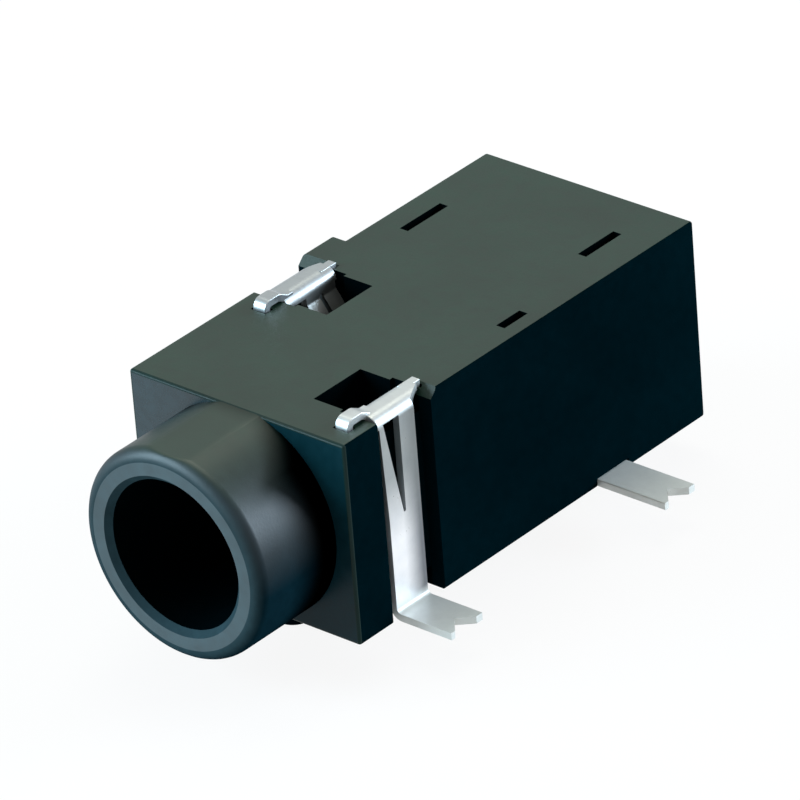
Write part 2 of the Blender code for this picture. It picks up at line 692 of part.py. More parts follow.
def build_tip_contact(tools):
    """The tip contact: foot, upright plate with its tab, and the beam that turns to the bore."""
    foot_end = TIP_FOOT_Y + FOOT_WIDTH
    tab_end = TIP_PLATE_FRONT_Y + TIP_TAB_LENGTH
    plate_low = FOOT_Z + BEND_RADIUS + HALF_SHEET
    outline = [
        (TIP_PLATE_FRONT_Y, plate_low),
        (foot_end, plate_low),
        (foot_end, RAIL_HEIGHT),
        (tab_end, RAIL_HEIGHT),
        (tab_end, TAB_TOP_Z),
        (TIP_PLATE_FRONT_Y, TAB_TOP_Z),
    ]
    plate = prism("tip_contact", outline, "X", TIP_PLATE_X - HALF_SHEET, TIP_PLATE_X + HALF_SHEET)
    rest_x = SWITCH_BLADE_X + SHEET + CLEARANCE
    beam = folded_strip(
        "tip_beam",
        [
            (TIP_PLATE_X, TIP_PLATE_FRONT_Y, 0.0),
            (TIP_PLATE_X, tab_end + BEAM_STRAIGHT, CONTACT_BEND),
            (TIP_TOUCH_X + HALF_SHEET, TIP_TOUCH_Y, CONTACT_BEND),
            (rest_x, BEAM_REST_Y, CONTACT_BEND),
            (rest_x, BEAM_END_Y, 0.0),
        ],
        "Z",
        BORE_Z - BEAM_WIDTH / 2.0,
        BORE_Z + BEAM_WIDTH / 2.0,
    )
    tip_foot = rear_foot("tip_foot", 1.0, TIP_PLATE_X, TIP_FOOT_Y)
    combine(plate, [beam, tip_foot], "UNION", tools)
    notch = foot_notch("tip_foot_notch", TIP_FOOT_Y, REAR_FOOT_REACH, 1.0)
    combine(plate, [notch], "DIFFERENCE", tools)
    return plate


def build_switch_contact(tools):
    """The switch contact: foot, left plate, strip under the bore and the blade at its right."""
    blade_end = SWITCH_BLADE_FRONT_Y + SWITCH_BLADE_LENGTH
    plate_end = SWITCH_FOOT_Y + SWITCH_PLATE_LENGTH
    plate_low = FOOT_Z + BEND_RADIUS + HALF_SHEET
    outline = [
        (SWITCH_FOOT_Y, plate_low),
        (blade_end, plate_low),
        (blade_end, RAIL_HEIGHT),
        (plate_end, RAIL_HEIGHT),
        (plate_end, TAB_TOP_Z),
        (SWITCH_FOOT_Y, TAB_TOP_Z),
    ]
    plate = prism(
        "switch_contact",
        outline,
        "X",
        -SWITCH_PLATE_X - HALF_SHEET,
        -SWITCH_PLATE_X + HALF_SHEET,
    )
    stirrup = folded_strip(
        "switch_stirrup",
        [
            (-SWITCH_PLATE_X, RAIL_HEIGHT, 0.0),
            (-SWITCH_PLATE_X, FOOT_Z, BEND_RADIUS),
            (SWITCH_BLADE_X, FOOT_Z, BEND_RADIUS),
            (SWITCH_BLADE_X, TAB_TOP_Z, 0.0),
        ],
        "Y",
        SWITCH_BLADE_FRONT_Y,
        blade_end,
    )
    switch_foot = rear_foot("switch_foot", -1.0, SWITCH_PLATE_X, SWITCH_FOOT_Y)
    combine(plate, [stirrup, switch_foot], "UNION", tools)
    notch = foot_notch("switch_foot_notch", SWITCH_FOOT_Y, REAR_FOOT_REACH, -1.0)
    combine(plate, [notch], "DIFFERENCE", tools)
    return plate


def main():
    """Builds the socket's five pieces."""
    clear_scene()
    parts = make_collection("audio_jack_socket")
    tools = make_collection("cutters")
    root = bpy.data.objects.new("socket_origin", None)
    parts.objects.link(root)
    pieces = (
        (build_housing(tools), PLASTIC),
        (build_front_contact("sleeve_contact", tools, False), TINNED),
        (build_front_contact("ring_contact", tools, True), TINNED),
        (build_tip_contact(tools), TINNED),
        (build_switch_contact(tools), TINNED),
    )
    for piece, finish in pieces:
        link(piece, parts)
        piece.data.materials.clear()
        piece.data.materials.append(make_material(f"{piece.name}_finish", finish))
        piece.data.shade_smooth()
        piece.data.set_sharp_from_angle(angle=math.radians(30.0))
    for thing in list(parts.objects) + list(tools.all_objects):
        if thing is not root:
            thing.parent = root
    root.location.y = -ORIGIN_Y


main()
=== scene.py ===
"""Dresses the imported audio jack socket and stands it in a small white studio."""

import logging
import math
from collections.abc import Iterator
from dataclasses import dataclass, field
from enum import Enum

import bmesh
import bpy
from mathutils import Matrix, Vector


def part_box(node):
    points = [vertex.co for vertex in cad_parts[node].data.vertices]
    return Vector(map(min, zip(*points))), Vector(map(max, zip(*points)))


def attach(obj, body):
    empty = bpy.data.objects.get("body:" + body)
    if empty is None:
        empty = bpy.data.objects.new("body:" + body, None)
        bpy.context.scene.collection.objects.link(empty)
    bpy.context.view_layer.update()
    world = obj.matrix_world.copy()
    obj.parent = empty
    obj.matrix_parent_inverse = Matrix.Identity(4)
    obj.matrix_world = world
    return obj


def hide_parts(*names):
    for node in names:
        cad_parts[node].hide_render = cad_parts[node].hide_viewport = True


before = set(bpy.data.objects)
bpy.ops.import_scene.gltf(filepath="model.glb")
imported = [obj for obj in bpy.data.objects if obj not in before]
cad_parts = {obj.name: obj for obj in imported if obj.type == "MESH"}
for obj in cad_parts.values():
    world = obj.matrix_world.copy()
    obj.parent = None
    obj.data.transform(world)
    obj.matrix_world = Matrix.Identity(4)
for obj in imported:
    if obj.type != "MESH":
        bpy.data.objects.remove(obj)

logging.basicConfig(level=logging.INFO, format="%(message)s")
LOG = logging.getLogger("socket")

# Pieces are built in millimetres. Finishes and the studio are in metres, written with MM.
MM = 0.001
MERGE_DISTANCE = 1e-5

# A Mix node has sockets for every kind of value: these are its two colours and its mixed colour.
MIX_COLOURS = (6, 7)
MIX_RESULT = 2

Colour = tuple[float, float, float]
Span = tuple[float, float]
Outline = list[tuple[float, float]]
Spot = tuple[float, float, float]


class SoftBox(Enum):
    """The studio's lamps: what each is for."""

    SKY = "sky"
    WINDOW = "window"
    SIDE = "side"


class Side(Enum):
    """The side of the housing that a front contact stands on."""

    RIGHT = 1.0
    LEFT = -1.0


class Square(Enum):
    """The axis that a flat drawing is stood up square to."""

    X = "x"
    Y = "y"
    Z = "z"

    def stand(self, place: float) -> Matrix:
        """Gives the matrix that stands a drawing up with its middle at a place.

        Args:
            place: Where along the axis the drawing's middle goes, in millimetres.

        Returns:
            The matrix. Drawings are (y, z) square to X, (x, z) square to Y and (x, y) square to Z.
        """
        if self is Square.X:
            turn = Matrix(((0, 0, 1, 0), (1, 0, 0, 0), (0, 1, 0, 0), (0, 0, 0, 1)))
            return Matrix.Translation((place, 0.0, 0.0)) @ turn
        if self is Square.Y:
            turn = Matrix.Rotation(math.pi / 2.0, 4, "X")
            return Matrix.Translation((0.0, place, 0.0)) @ turn
        return Matrix.Translation((0.0, 0.0, place))


class LitCopy(Enum):
    """Lit and shaded copies of one plastic, each with painted light, shade and reflection."""

    SIDE = 0
    TOP = 1
    FRONT_LEFT = 2
    FRONT_RIGHT = 3
    BARREL = 4
    MOUTH = 5
    LEAD_IN = 6
    EDGE = 7
    INSIDE = 8


def rgba(colour: Colour) -> tuple[float, float, float, float]:
    """A colour with full alpha."""
    return (*colour, 1.0)


class NodeSheet:
    """A material's node tree, with short calls for its nodes and links."""

    def __init__(self, name: str) -> None:
        """Starts a material that holds only its output.

        Args:
            name: The material's name.
        """
        self.material = bpy.data.materials.new(name)
        self.material.use_nodes = True
        self.tree = self.material.node_tree
        self.tree.nodes.clear()
        self.output = self.tree.nodes.new("ShaderNodeOutputMaterial")

    def node(self, kind: str, **values: object) -> bpy.types.Node:
        """Adds a node.

        Args:
            kind: The node's type, without its ShaderNode prefix.
            **values: Properties of the node, set by name.

        Returns:
            The new node.
        """
        made = self.tree.nodes.new("ShaderNode" + kind)
        for name, value in values.items():
            setattr(made, name, value)
        return made

    def link(self, source: bpy.types.NodeSocket, target: bpy.types.NodeSocket) -> None:
        """Joins two sockets."""
        self.tree.links.new(source, target)

    def noise(
        self,
        place: bpy.types.NodeSocket,
        size: float,
        detail: float,
        layer_share: float = 0.55,
    ) -> bpy.types.NodeSocket:
        """Adds noise whose lumps have a real size.

        Args:
            place: The coordinates to read.
            size: How wide a lump is, in metres.
            detail: How many finer layers it has.
            layer_share: How strong each finer layer is, as a share of the one before.

        Returns:
            The noise's value, from 0 to 1.
        """
        made = self.node("TexNoise")
        made.inputs["Scale"].default_value = 1.0 / size
        made.inputs["Detail"].default_value = detail
        made.inputs["Roughness"].default_value = layer_share
        self.link(place, made.inputs["Vector"])
        return made.outputs["Fac"]

    def ramp(
        self,
        value: bpy.types.NodeSocket,
        low: float,
        high: float,
        start: float,
        end: float,
        kind: str = "LINEAR",
    ) -> bpy.types.NodeSocket:
        """Maps a value from one range to another.

        Args:
            value: The value to map.
            low: Where the old range starts.
            high: Where the old range ends.
            start: What low becomes.
            end: What high becomes.
            kind: LINEAR, or SMOOTHSTEP for soft ends.

        Returns:
            The mapped value, kept inside the new range.
        """
        made = self.node("MapRange", clamp=True, interpolation_type=kind)
        for name, number in (
            ("From Min", low),
            ("From Max", high),
            ("To Min", start),
            ("To Max", end),
        ):
            made.inputs[name].default_value = number
        self.link(value, made.inputs["Value"])
        return made.outputs["Result"]

    def blend(
        self,
        share: bpy.types.NodeSocket,
        first: Colour | bpy.types.NodeSocket,
        second: Colour | bpy.types.NodeSocket,
    ) -> bpy.types.NodeSocket:
        """Mixes two colours.

        Args:
            share: How much of the second colour shows.
            first: The colour at 0, as numbers or as a socket.
            second: The colour at 1, as numbers or as a socket.

        Returns:
            The mixed colour.
        """
        made = self.node("Mix", data_type="RGBA")
        self.link(share, made.inputs[0])
        for number, colour in zip(MIX_COLOURS, (first, second)):
            if isinstance(colour, tuple):
                made.inputs[number].default_value = rgba(colour)
            else:
                self.link(colour, made.inputs[number])
        return made.outputs[MIX_RESULT]

    def calculate(
        self, operation: str, first: bpy.types.NodeSocket, second: bpy.types.NodeSocket
    ) -> bpy.types.NodeSocket:
        """Adds a step of arithmetic on two values.

        Args:
            operation: The name of the operation.
            first: The first value.
            second: The second value.

        Returns:
            The result.
        """
        made = self.node("Math", operation=operation)
        self.link(first, made.inputs[0])
        self.link(second, made.inputs[1])
        return made.outputs[0]

    def larger(
        self, first: bpy.types.NodeSocket, second: bpy.types.NodeSocket
    ) -> bpy.types.NodeSocket:
        """The larger of two values."""
        return self.calculate("MAXIMUM", first, second)

    def times(
        self, first: bpy.types.NodeSocket, second: bpy.types.NodeSocket
    ) -> bpy.types.NodeSocket:
        """The product of two values."""
        return self.calculate("MULTIPLY", first, second)

    def tint(
        self, colour: bpy.types.NodeSocket, amount: bpy.types.NodeSocket
    ) -> bpy.types.NodeSocket:
        """Makes a colour darker or lighter.

        Args:
            colour: The colour.
            amount: What it is multiplied by.

        Returns:
            The changed colour.
        """
        made = self.node("VectorMath", operation="SCALE")
        self.link(colour, made.inputs[0])
        self.link(amount, made.inputs["Scale"])
        return made.outputs[0]

    def bump(
        self,
        height: bpy.types.NodeSocket,
        depth: float,
        before: bpy.types.NodeSocket | None = None,
    ) -> bpy.types.NodeSocket:
        """Turns a height into a bumped normal.

        Args:
            height: The height, from 0 to 1.
            depth: What a height of 1 is, in metres.
            before: A normal that this one is laid over.

        Returns:
            The normal.
        """
        made = self.node("Bump")
        made.inputs["Strength"].default_value = 1.0
        made.inputs["Distance"].default_value = depth
        self.link(height, made.inputs["Height"])
        if before is not None:
            self.link(before, made.inputs["Normal"])
        return made.outputs["Normal"]


@dataclass(frozen=True)
class MouldedPlastic:
    """Dark heat-resistant plastic, in one of its lit or shaded copies.

    On the barrel, light, shade and reflection are painted by the way that a face points and its
    place along the bore: painted light and more painted sheen on the top and towards the right,
    painted light where the rim turns to the front, painted shade and less sheen on faces that
    point left, and painted shade at the root next to the block. Each turn is the pair of values of
    the normal that a change runs between. The noise span is the pair of noise values that the
    levels belong to.
    """

    colour: Colour
    sheen: float
    roughness: float = 0.43
    roughness_spread: float = 0.07
    crown_painted_light: Colour | None = None
    crown_sheen: float = 0.0
    crown_light_turn: Span = (0.55, 0.98)
    sheen_turn: Span = (-0.15, 0.60)
    rim: Colour = (0.0, 0.0, 0.0)
    rim_light_turn: Span = (-0.45, -0.95)
    rim_sheen_share: float = 0.7
    root_shade_y: Span = (0.0, 0.0)
    root_shade_turn: Span = (0.70, 1.00)
    root_shade_narrows: float = 1.1 * MM
    left_shade_turn: Span = (-0.75, -0.15)
    left_shade_share: float = 0.25
    grain_size: float = 0.055 * MM
    grain_depth: float = 0.0018 * MM
    fleck_scale: float = 5.0
    fleck_levels: Span = (0.90, 1.10)
    flow_size: float = 2.2 * MM
    flow_depth: float = 0.006 * MM
    flow_levels: Span = (0.84, 1.18)
    noise_span: Span = (0.3, 0.7)

    def build(self, name: str) -> bpy.types.Material:
        """Makes the material.

        Args:
            name: The material's name.

        Returns:
            The material.
        """
        sheet = NodeSheet(name)
        shader = sheet.node("BsdfPrincipled")
        coordinates = sheet.node("TexCoord")
        place = coordinates.outputs["Object"]
        grain = sheet.noise(place, self.grain_size, detail=4.0)
        flow = sheet.noise(place, self.flow_size, detail=2.0)
        fleck = sheet.noise(place, self.grain_size * self.fleck_scale, detail=3.0)
        cloud = sheet.ramp(flow, *self.noise_span, *self.flow_levels)
        speck = sheet.ramp(fleck, *self.noise_span, *self.fleck_levels)
        if self.crown_painted_light is None:
            even = sheet.node("RGB")
            even.outputs[0].default_value = rgba(self.colour)
            tone = even.outputs[0]
            shader.inputs["Specular IOR Level"].default_value = self.sheen
        else:
            # The barrel's copy paints light, shade and reflection by facing and place.
            tone, sheen = self.paint_light_and_shade(sheet, coordinates)
            sheet.link(sheen, shader.inputs["Specular IOR Level"])
        sheet.link(sheet.tint(tone, sheet.times(cloud, speck)), shader.inputs["Base Color"])
        low = self.roughness - self.roughness_spread
        high = self.roughness + self.roughness_spread
        rough = sheet.ramp(fleck, *self.noise_span, low, high)
        sheet.link(rough, shader.inputs["Roughness"])
        waves = sheet.bump(flow, self.flow_depth)
        sheet.link(sheet.bump(grain, self.grain_depth, waves), shader.inputs["Normal"])
        sheet.link(shader.outputs["BSDF"], sheet.output.inputs["Surface"])
        return sheet.material

    def paint_light_and_shade(
        self, sheet: NodeSheet, coordinates: bpy.types.Node
    ) -> tuple[bpy.types.NodeSocket, bpy.types.NodeSocket]:
        """Paints light, shade and reflection into tone and sheen by facing and place along the
        bore.

        Args:
            sheet: The material's nodes.
            coordinates: The node that gives the places and the normals.

        Returns:
            The tone and the specular level.
        """
        facing = sheet.node("SeparateXYZ")
        sheet.link(coordinates.outputs["Normal"], facing.inputs[0])
        # Painted shade and weaker painted sheen on faces that point left.
        half = sheet.ramp(facing.outputs["X"], *self.left_shade_turn, self.left_shade_share, 1.0)
        # Painted light from above: faces that point up take the top's lit colour.
        high = sheet.ramp(facing.outputs["Z"], *self.crown_light_turn, 0.0, 1.0)
        # Painted light from the front: faces where the rim turns forward take the paler colour.
        front = sheet.ramp(facing.outputs["Y"], *self.rim_light_turn, 0.0, 1.0)
        tone = sheet.blend(sheet.times(high, half), self.colour, self.crown_painted_light)
        tone = sheet.blend(front, tone, self.rim)
        # Painted reflection: the sheen grows as faces turn up.
        levels = (self.sheen, self.crown_sheen)
        sheen = sheet.ramp(facing.outputs["Z"], *self.sheen_turn, *levels, "SMOOTHSTEP")
        # Painted shade at the root next to the block, narrower on faces that point up.
        where = sheet.node("SeparateXYZ")
        sheet.link(coordinates.outputs["Object"], where.inputs[0])
        root_shade_narrowing = sheet.ramp(facing.outputs["Z"], *self.root_shade_turn, 0.0, self.root_shade_narrows)
        reach = sheet.calculate("SUBTRACT", where.outputs["Y"], root_shade_narrowing)
        clear = sheet.ramp(reach, *self.root_shade_y, 0.0, 1.0, "SMOOTHSTEP")
        sheen = sheet.times(sheen, clear)
        # Less painted sheen where the rim turns to the front.
        sheen = sheet.times(sheen, sheet.ramp(front, 0.0, 1.0, 1.0, self.rim_sheen_share))
        return sheet.tint(tone, clear), sheet.times(sheen, half)


# Each entry is a lit or shaded copy of one plastic: painted light, shade and reflection.
LIT_COPIES = {
    # Sides: painted shade, darker and with no sheen, so that they mirror nothing.
    LitCopy.SIDE: MouldedPlastic((0.0003, 0.0048, 0.0068), 0.0),
    # Top: painted light from above, paler and greener, with a painted sheen.
    LitCopy.TOP: MouldedPlastic((0.0045, 0.0200, 0.0125), 0.34),
    # Front face: strong painted reflection on its left half, almost none on its right half, a
    # painted shade.
    LitCopy.FRONT_LEFT: MouldedPlastic((0.0020, 0.0180, 0.0240), 0.58, roughness=0.27),
    LitCopy.FRONT_RIGHT: MouldedPlastic((0.0020, 0.0180, 0.0240), 0.10, roughness=0.35),
    # Barrel: painted light on its top and rim, painted shade on its left and at its root.
    LitCopy.BARREL: MouldedPlastic(
        (0.0026, 0.0130, 0.0190),
        0.0,
        roughness=0.44,
        roughness_spread=0.03,
        crown_painted_light=(0.0045, 0.0200, 0.0125),
        crown_sheen=0.40,
        rim=(0.0170, 0.0320, 0.0370),
        root_shade_y=(-5.05 * MM, -6.30 * MM),
        flow_depth=0.002 * MM,
    ),
    # Mouth ring: painted light from the front, paler than the front face.
    LitCopy.MOUTH: MouldedPlastic((0.0240, 0.0450, 0.0520), 0.42),
    # Lead-in: painted light, paler and with no sheen, so that its left side stays dark.
    LitCopy.LEAD_IN: MouldedPlastic((0.0180, 0.0340, 0.0400), 0.0),
    # Rounded edges: a weaker painted sheen, so that they show no bright line.
    LitCopy.EDGE: MouldedPlastic((0.0030, 0.0160, 0.0140), 0.12),
    # Inside the slots, pockets, cavities and bore: painted shade, nearly black.
    LitCopy.INSIDE: MouldedPlastic((0.0003, 0.0018, 0.0024), 0.0),
}


@dataclass(frozen=True)
class TinPlate:
    """Plated sheet: bright tin low on the leg, which turns to a duller tone up the leg.

    A thin film of oxide scatters part of the light, so the plate is part metal, part white.
    Towards the rear the tone turns dark, a painted shade by the slot's rear wall. The bridge is
    painted lighter again, a painted highlight where it faces up.
    """

    tin: Colour = (0.86, 0.85, 0.86)
    # The darker rear colours are painted shade towards the slot's rear wall.
    tin_rear_shade: Colour = (0.16, 0.17, 0.185)
    foot: Colour = (0.66, 0.67, 0.64)
    dull: Colour = (0.32, 0.34, 0.34)
    dull_rear_shade: Colour = (0.19, 0.205, 0.205)
    # The bridge's colour is painted light, lighter than the duller plate below it.
    bridge: Colour = (0.50, 0.52, 0.52)
    rear_shade_start: float = -2.96 * MM
    rear_shade_length: float = 0.52 * MM
    foot_z: float = 0.22 * MM
    foot_blend: float = 0.2 * MM
    tin_end: float = 1.85 * MM
    dull_start: float = 3.50 * MM
    bridge_z: float = 4.85 * MM
    bridge_blend: float = 0.15 * MM
    metal: float = 0.72
    foot_metal: float = 0.25
    roughness_low: float = 0.26
    roughness_high: float = 0.44
    score_roughness: float = 0.08
    patch_size: float = 0.55 * MM
    patch_depth: float = 0.0025 * MM
    patch_span: Span = (0.3, 0.7)
    patch_levels: Span = (1.06, 0.90)
    score_size: float = 0.045 * MM
    score_stretch: Spot = (0.12, 1.0, 0.12)
    score_span: Span = (0.35, 0.65)

    def build(self, name: str) -> bpy.types.Material:
        """Makes the material.

        Args:
            name: The material's name.

        Returns:
            The material.
        """
        sheet = NodeSheet(name)
        shader = sheet.node("BsdfPrincipled")
        place = sheet.node("TexCoord").outputs["Object"]
        where = sheet.node("SeparateXYZ")
        sheet.link(place, where.inputs[0])
        height = where.outputs["Z"]
        patch = sheet.noise(place, self.patch_size, detail=4.0)
        ripple = sheet.noise(place, self.patch_size, detail=1.0)
        stretch = sheet.node("Mapping")
        stretch.inputs["Scale"].default_value = self.score_stretch
        sheet.link(place, stretch.inputs["Vector"])
        score = sheet.noise(stretch.outputs["Vector"], self.score_size, detail=2.0)
        foot_end = self.foot_z + self.foot_blend
        above_foot = sheet.ramp(height, self.foot_z, foot_end, 0.0, 1.0)
        above_tin = sheet.ramp(height, self.tin_end, self.dull_start, 0.0, 1.0)
        # Painted light on the bridge.
        dull_end = self.bridge_z + self.bridge_blend
        bridge_light_share = sheet.ramp(height, self.bridge_z, dull_end, 0.0, 1.0)
        # Painted shade towards the slot's rear wall.
        rear_shade_end = self.rear_shade_start + self.rear_shade_length
        rear_shade = sheet.ramp(where.outputs["Y"], self.rear_shade_start, rear_shade_end, 0.0, 1.0)
        tone = sheet.blend(
            above_tin,
            sheet.blend(rear_shade, self.tin, self.tin_rear_shade),
            sheet.blend(rear_shade, self.dull, self.dull_rear_shade),
        )
        tone = sheet.blend(above_foot, self.foot, tone)
        tone = sheet.blend(bridge_light_share, tone, self.bridge)
        cloud = sheet.ramp(patch, *self.patch_span, *self.patch_levels)
        sheet.link(sheet.tint(tone, cloud), shader.inputs["Base Color"])
        rough = sheet.ramp(patch, *self.patch_span, self.roughness_low, self.roughness_high)
        scored = sheet.ramp(score, *self.score_span, 0.0, self.score_roughness)
        sheet.link(sheet.calculate("ADD", rough, scored), shader.inputs["Roughness"])
        metal = sheet.ramp(above_foot, 0.0, 1.0, self.foot_metal, self.metal)
        sheet.link(metal, shader.inputs["Metallic"])
        sheet.link(sheet.bump(ripple, self.patch_depth), shader.inputs["Normal"])
        sheet.link(shader.outputs["BSDF"], sheet.output.inputs["Surface"])
        return sheet.material


@dataclass(frozen=True)
class WhiteFloor:
    """A pale sheet under the socket. It looks white and keeps a soft shadow."""

    colour: Colour = (0.75, 0.75, 0.75)
    lift: float = 0.90

    def build(self, name: str) -> bpy.types.Material:
        """Makes the material.

        Args:
            name: The material's name.

        Returns:
            The material.
        """
        sheet = NodeSheet(name)
        paper = sheet.node("BsdfDiffuse")
        paper.inputs["Color"].default_value = rgba(self.colour)
        glow = sheet.node("Emission")
        glow.inputs["Color"].default_value = rgba((1.0, 1.0, 1.0))
        path = sheet.node("LightPath")
        seen = sheet.larger(path.outputs["Is Camera Ray"], path.outputs["Is Glossy Ray"])
        seen = sheet.larger(seen, path.outputs["Is Transmission Ray"])
        mix = sheet.node("MixShader")
        sheet.link(sheet.ramp(seen, 0.0, 1.0, 0.0, self.lift), mix.inputs[0])
        sheet.link(paper.outputs[0], mix.inputs[1])
        sheet.link(glow.outputs[0], mix.inputs[2])
        sheet.link(mix.outputs[0], sheet.output.inputs["Surface"])
        return sheet.material


@dataclass(frozen=True)
class Lamp:
    """A square soft box: its place and width, how bright its face is and its colour."""

    spot: Spot
    size: float
    glow: float
    colour: Colour

    @property
    def watts(self) -> float:
        """The power that gives the lamp's face its brightness."""
        return self.glow * math.pi * self.size**2


@dataclass
class Studio:
    """The floor, the lamps, the world and the camera at the photograph's view.

    The camera's place is given by the way it looks at a point of the socket, as it was fitted to
    the photograph's edges. Its focal length is in pixels of a picture 800 pixels wide. The sensor
    is in millimetres, and the other lengths are in metres.
    """

    azimuth: float = 42.5025
    elevation: float = 29.4469
    roll: float = -4.6038
    distance: float = 192.949 * MM
    slide_right: float = 0.0959 * MM
    slide_up: float = 0.2753 * MM
    focal: float = 8736.1
    picture: float = 800.0
    sensor: float = 36.0
    near: float = 0.005
    far: float = 10.0
    target: Spot = (0.0, 0.3 * MM, 2.5 * MM)
    floor_z: float = -0.805 * MM
    floor_size: float = 4.0
    world_level: float = 0.34
    lamps: dict[SoftBox, Lamp] = field(
        default_factory=lambda: {
            SoftBox.SKY: Lamp((-0.030, 0.040, 0.140), 0.08, 5.0, (1.0, 1.0, 0.85)),
            SoftBox.WINDOW: Lamp((-0.090, -0.110, 0.050), 0.10, 15.0, (0.62, 0.86, 1.0)),
            SoftBox.SIDE: Lamp((0.067, 0.104, 0.032), 0.06, 26.0, (0.70, 0.86, 1.0)),
        }
    )

    def add_camera(self) -> bpy.types.Object:
        """Adds the camera at the photograph's view and makes it the scene's.

        Returns:
            The camera's object.
        """
        turn = math.radians(self.azimuth)
        rise = math.radians(self.elevation)
        tilt = math.radians(self.roll)
        back = Vector(
            (
                math.sin(turn) * math.cos(rise),
                -math.cos(turn) * math.cos(rise),
                math.sin(rise),
            )
        )
        level = (-back).cross(Vector((0.0, 0.0, 1.0))).normalized()
        upright = level.cross(-back)
        right = math.cos(tilt) * level + math.sin(tilt) * upright
        up = -math.sin(tilt) * level + math.cos(tilt) * upright
        spot = Vector(self.target) + back * self.distance
        spot += right * self.slide_right + up * self.slide_up
        lens = bpy.data.cameras.new("camera")
        lens.sensor_width = self.sensor
        lens.lens = self.focal / self.picture * self.sensor
        lens.clip_start = self.near
        lens.clip_end = self.far
        camera = bpy.data.objects.new("camera", lens)
        bpy.context.scene.collection.objects.link(camera)
        axes = Matrix((right, up, back)).transposed().to_4x4()
        camera.matrix_world = Matrix.Translation(spot) @ axes
        bpy.context.scene.camera = camera
        return camera

    def add_lamps(self) -> None:
        """Adds the soft boxes, each turned to the socket."""
        for use, lamp in self.lamps.items():
            light = bpy.data.lights.new(use.value, "AREA")
            light.shape = "SQUARE"
            light.size = lamp.size
            light.energy = lamp.watts
            light.color = lamp.colour
            thing = bpy.data.objects.new(use.value, light)
            bpy.context.scene.collection.objects.link(thing)
            thing.location = lamp.spot
            aim = Vector(self.target) - Vector(lamp.spot)
            thing.rotation_euler = aim.to_track_quat("-Z", "Y").to_euler()

    def add_world(self) -> None:
        """Adds an even white surrounding, which the camera and shiny surfaces see as white."""
        world = bpy.data.worlds.new("surrounding")
        bpy.context.scene.world = world
        world.use_nodes = True
        tree = world.node_tree
        tree.nodes.clear()
        output = tree.nodes.new("ShaderNodeOutputWorld")
        sky = tree.nodes.new("ShaderNodeBackground")
        path = tree.nodes.new("ShaderNodeLightPath")
        seen = tree.nodes.new("ShaderNodeMath")
        seen.operation = "MAXIMUM"
        also = tree.nodes.new("ShaderNodeMath")
        also.operation = "MAXIMUM"
        level = tree.nodes.new("ShaderNodeMapRange")
        level.inputs["To Min"].default_value = self.world_level
        level.inputs["To Max"].default_value = 1.0
        tree.links.new(path.outputs["Is Camera Ray"], seen.inputs[0])
        tree.links.new(path.outputs["Is Glossy Ray"], seen.inputs[1])
        tree.links.new(seen.outputs[0], also.inputs[0])
        tree.links.new(path.outputs["Is Transmission Ray"], also.inputs[1])
        tree.links.new(also.outputs[0], level.inputs["Value"])
        tree.links.new(level.outputs["Result"], sky.inputs["Strength"])
        tree.links.new(sky.outputs[0], output.inputs["Surface"])

    def add_floor(self) -> None:
        """Adds the floor, just under the ends of the locating pegs."""
        spot = (0.0, 0.0, self.floor_z)
        bpy.ops.mesh.primitive_plane_add(size=self.floor_size, location=spot)
        floor = bpy.context.object
        floor.name = "floor"
        floor.data.materials.append(WhiteFloor().build("white_floor"))

    def build(self) -> None:
        """Adds all of the studio."""
        self.add_floor()
        self.add_lamps()
        self.add_world()
        self.add_camera()
        LOG.info("studio: floor, %d lamps, surrounding and camera", len(self.lamps))


def add_object(name: str, data: bpy.types.ID) -> bpy.types.Object:
    """Puts new data into the scene as an object.

    Args:
        name: The object's name.
        data: A mesh or a curve.

    Returns:
        The new object.
    """
    thing = bpy.data.objects.new(name, data)
    bpy.context.scene.collection.objects.link(thing)
    return thing


def settle(thing: bpy.types.Object) -> bpy.types.Object:
    """Turns an object and its modifiers into a plain mesh.

    Args:
        thing: The object, which is removed.

    Returns:
        A new object of the same name, at the origin.
    """
    graph = bpy.context.evaluated_depsgraph_get()
    mesh = bpy.data.meshes.new_from_object(
        thing.evaluated_get(graph), preserve_all_data_layers=True, depsgraph=graph
    )
    name = thing.name
    thing.modifiers.clear()
    bpy.data.objects.remove(thing, do_unlink=True)
    return add_object(name, mesh)


def box(name: str, low: Spot, high: Spot) -> bpy.types.Object:
    """A block between two corners."""
    outline = [(low[0], low[1]), (high[0], low[1]), (high[0], high[1]), (low[0], high[1])]
    return prism(name, outline, Square.Z, low[2], high[2])


def prism(
    name: str, outline: Outline, square: Square, low: float, high: float
) -> bpy.types.Object:
    """Makes a closed outline solid between two places.

    Args:
        name: The object's name.
        outline: The outline's corners, in millimetres.
        square: The axis that the outline is square to.
        low: Where the solid starts along that axis.
        high: Where it ends.

    Returns:
        The solid.
    """
    shape = bmesh.new()
    half = (high - low) / 2.0
    base = shape.faces.new([shape.verts.new((a, b, -half)) for a, b in outline])
    grown = bmesh.ops.extrude_face_region(shape, geom=[base])
    lid = [part for part in grown["geom"] if isinstance(part, bmesh.types.BMVert)]
    bmesh.ops.translate(shape, verts=lid, vec=(0.0, 0.0, 2.0 * half))
    bmesh.ops.recalc_face_normals(shape, faces=shape.faces)
    mesh = bpy.data.meshes.new(name)
    shape.to_mesh(mesh)
    shape.free()
    mesh.transform(square.stand((low + high) / 2.0))
    return add_object(name, mesh)


def arc(centre: Span, radius: float, start: float, end: float, steps: int) -> Outline:
    """Points on an arc, from one angle to another, in degrees."""
    turns = [math.radians(start + (end - start) * step / steps) for step in range(steps + 1)]
    return [(centre[0] + radius * math.cos(t), centre[1] + radius * math.sin(t)) for t in turns]


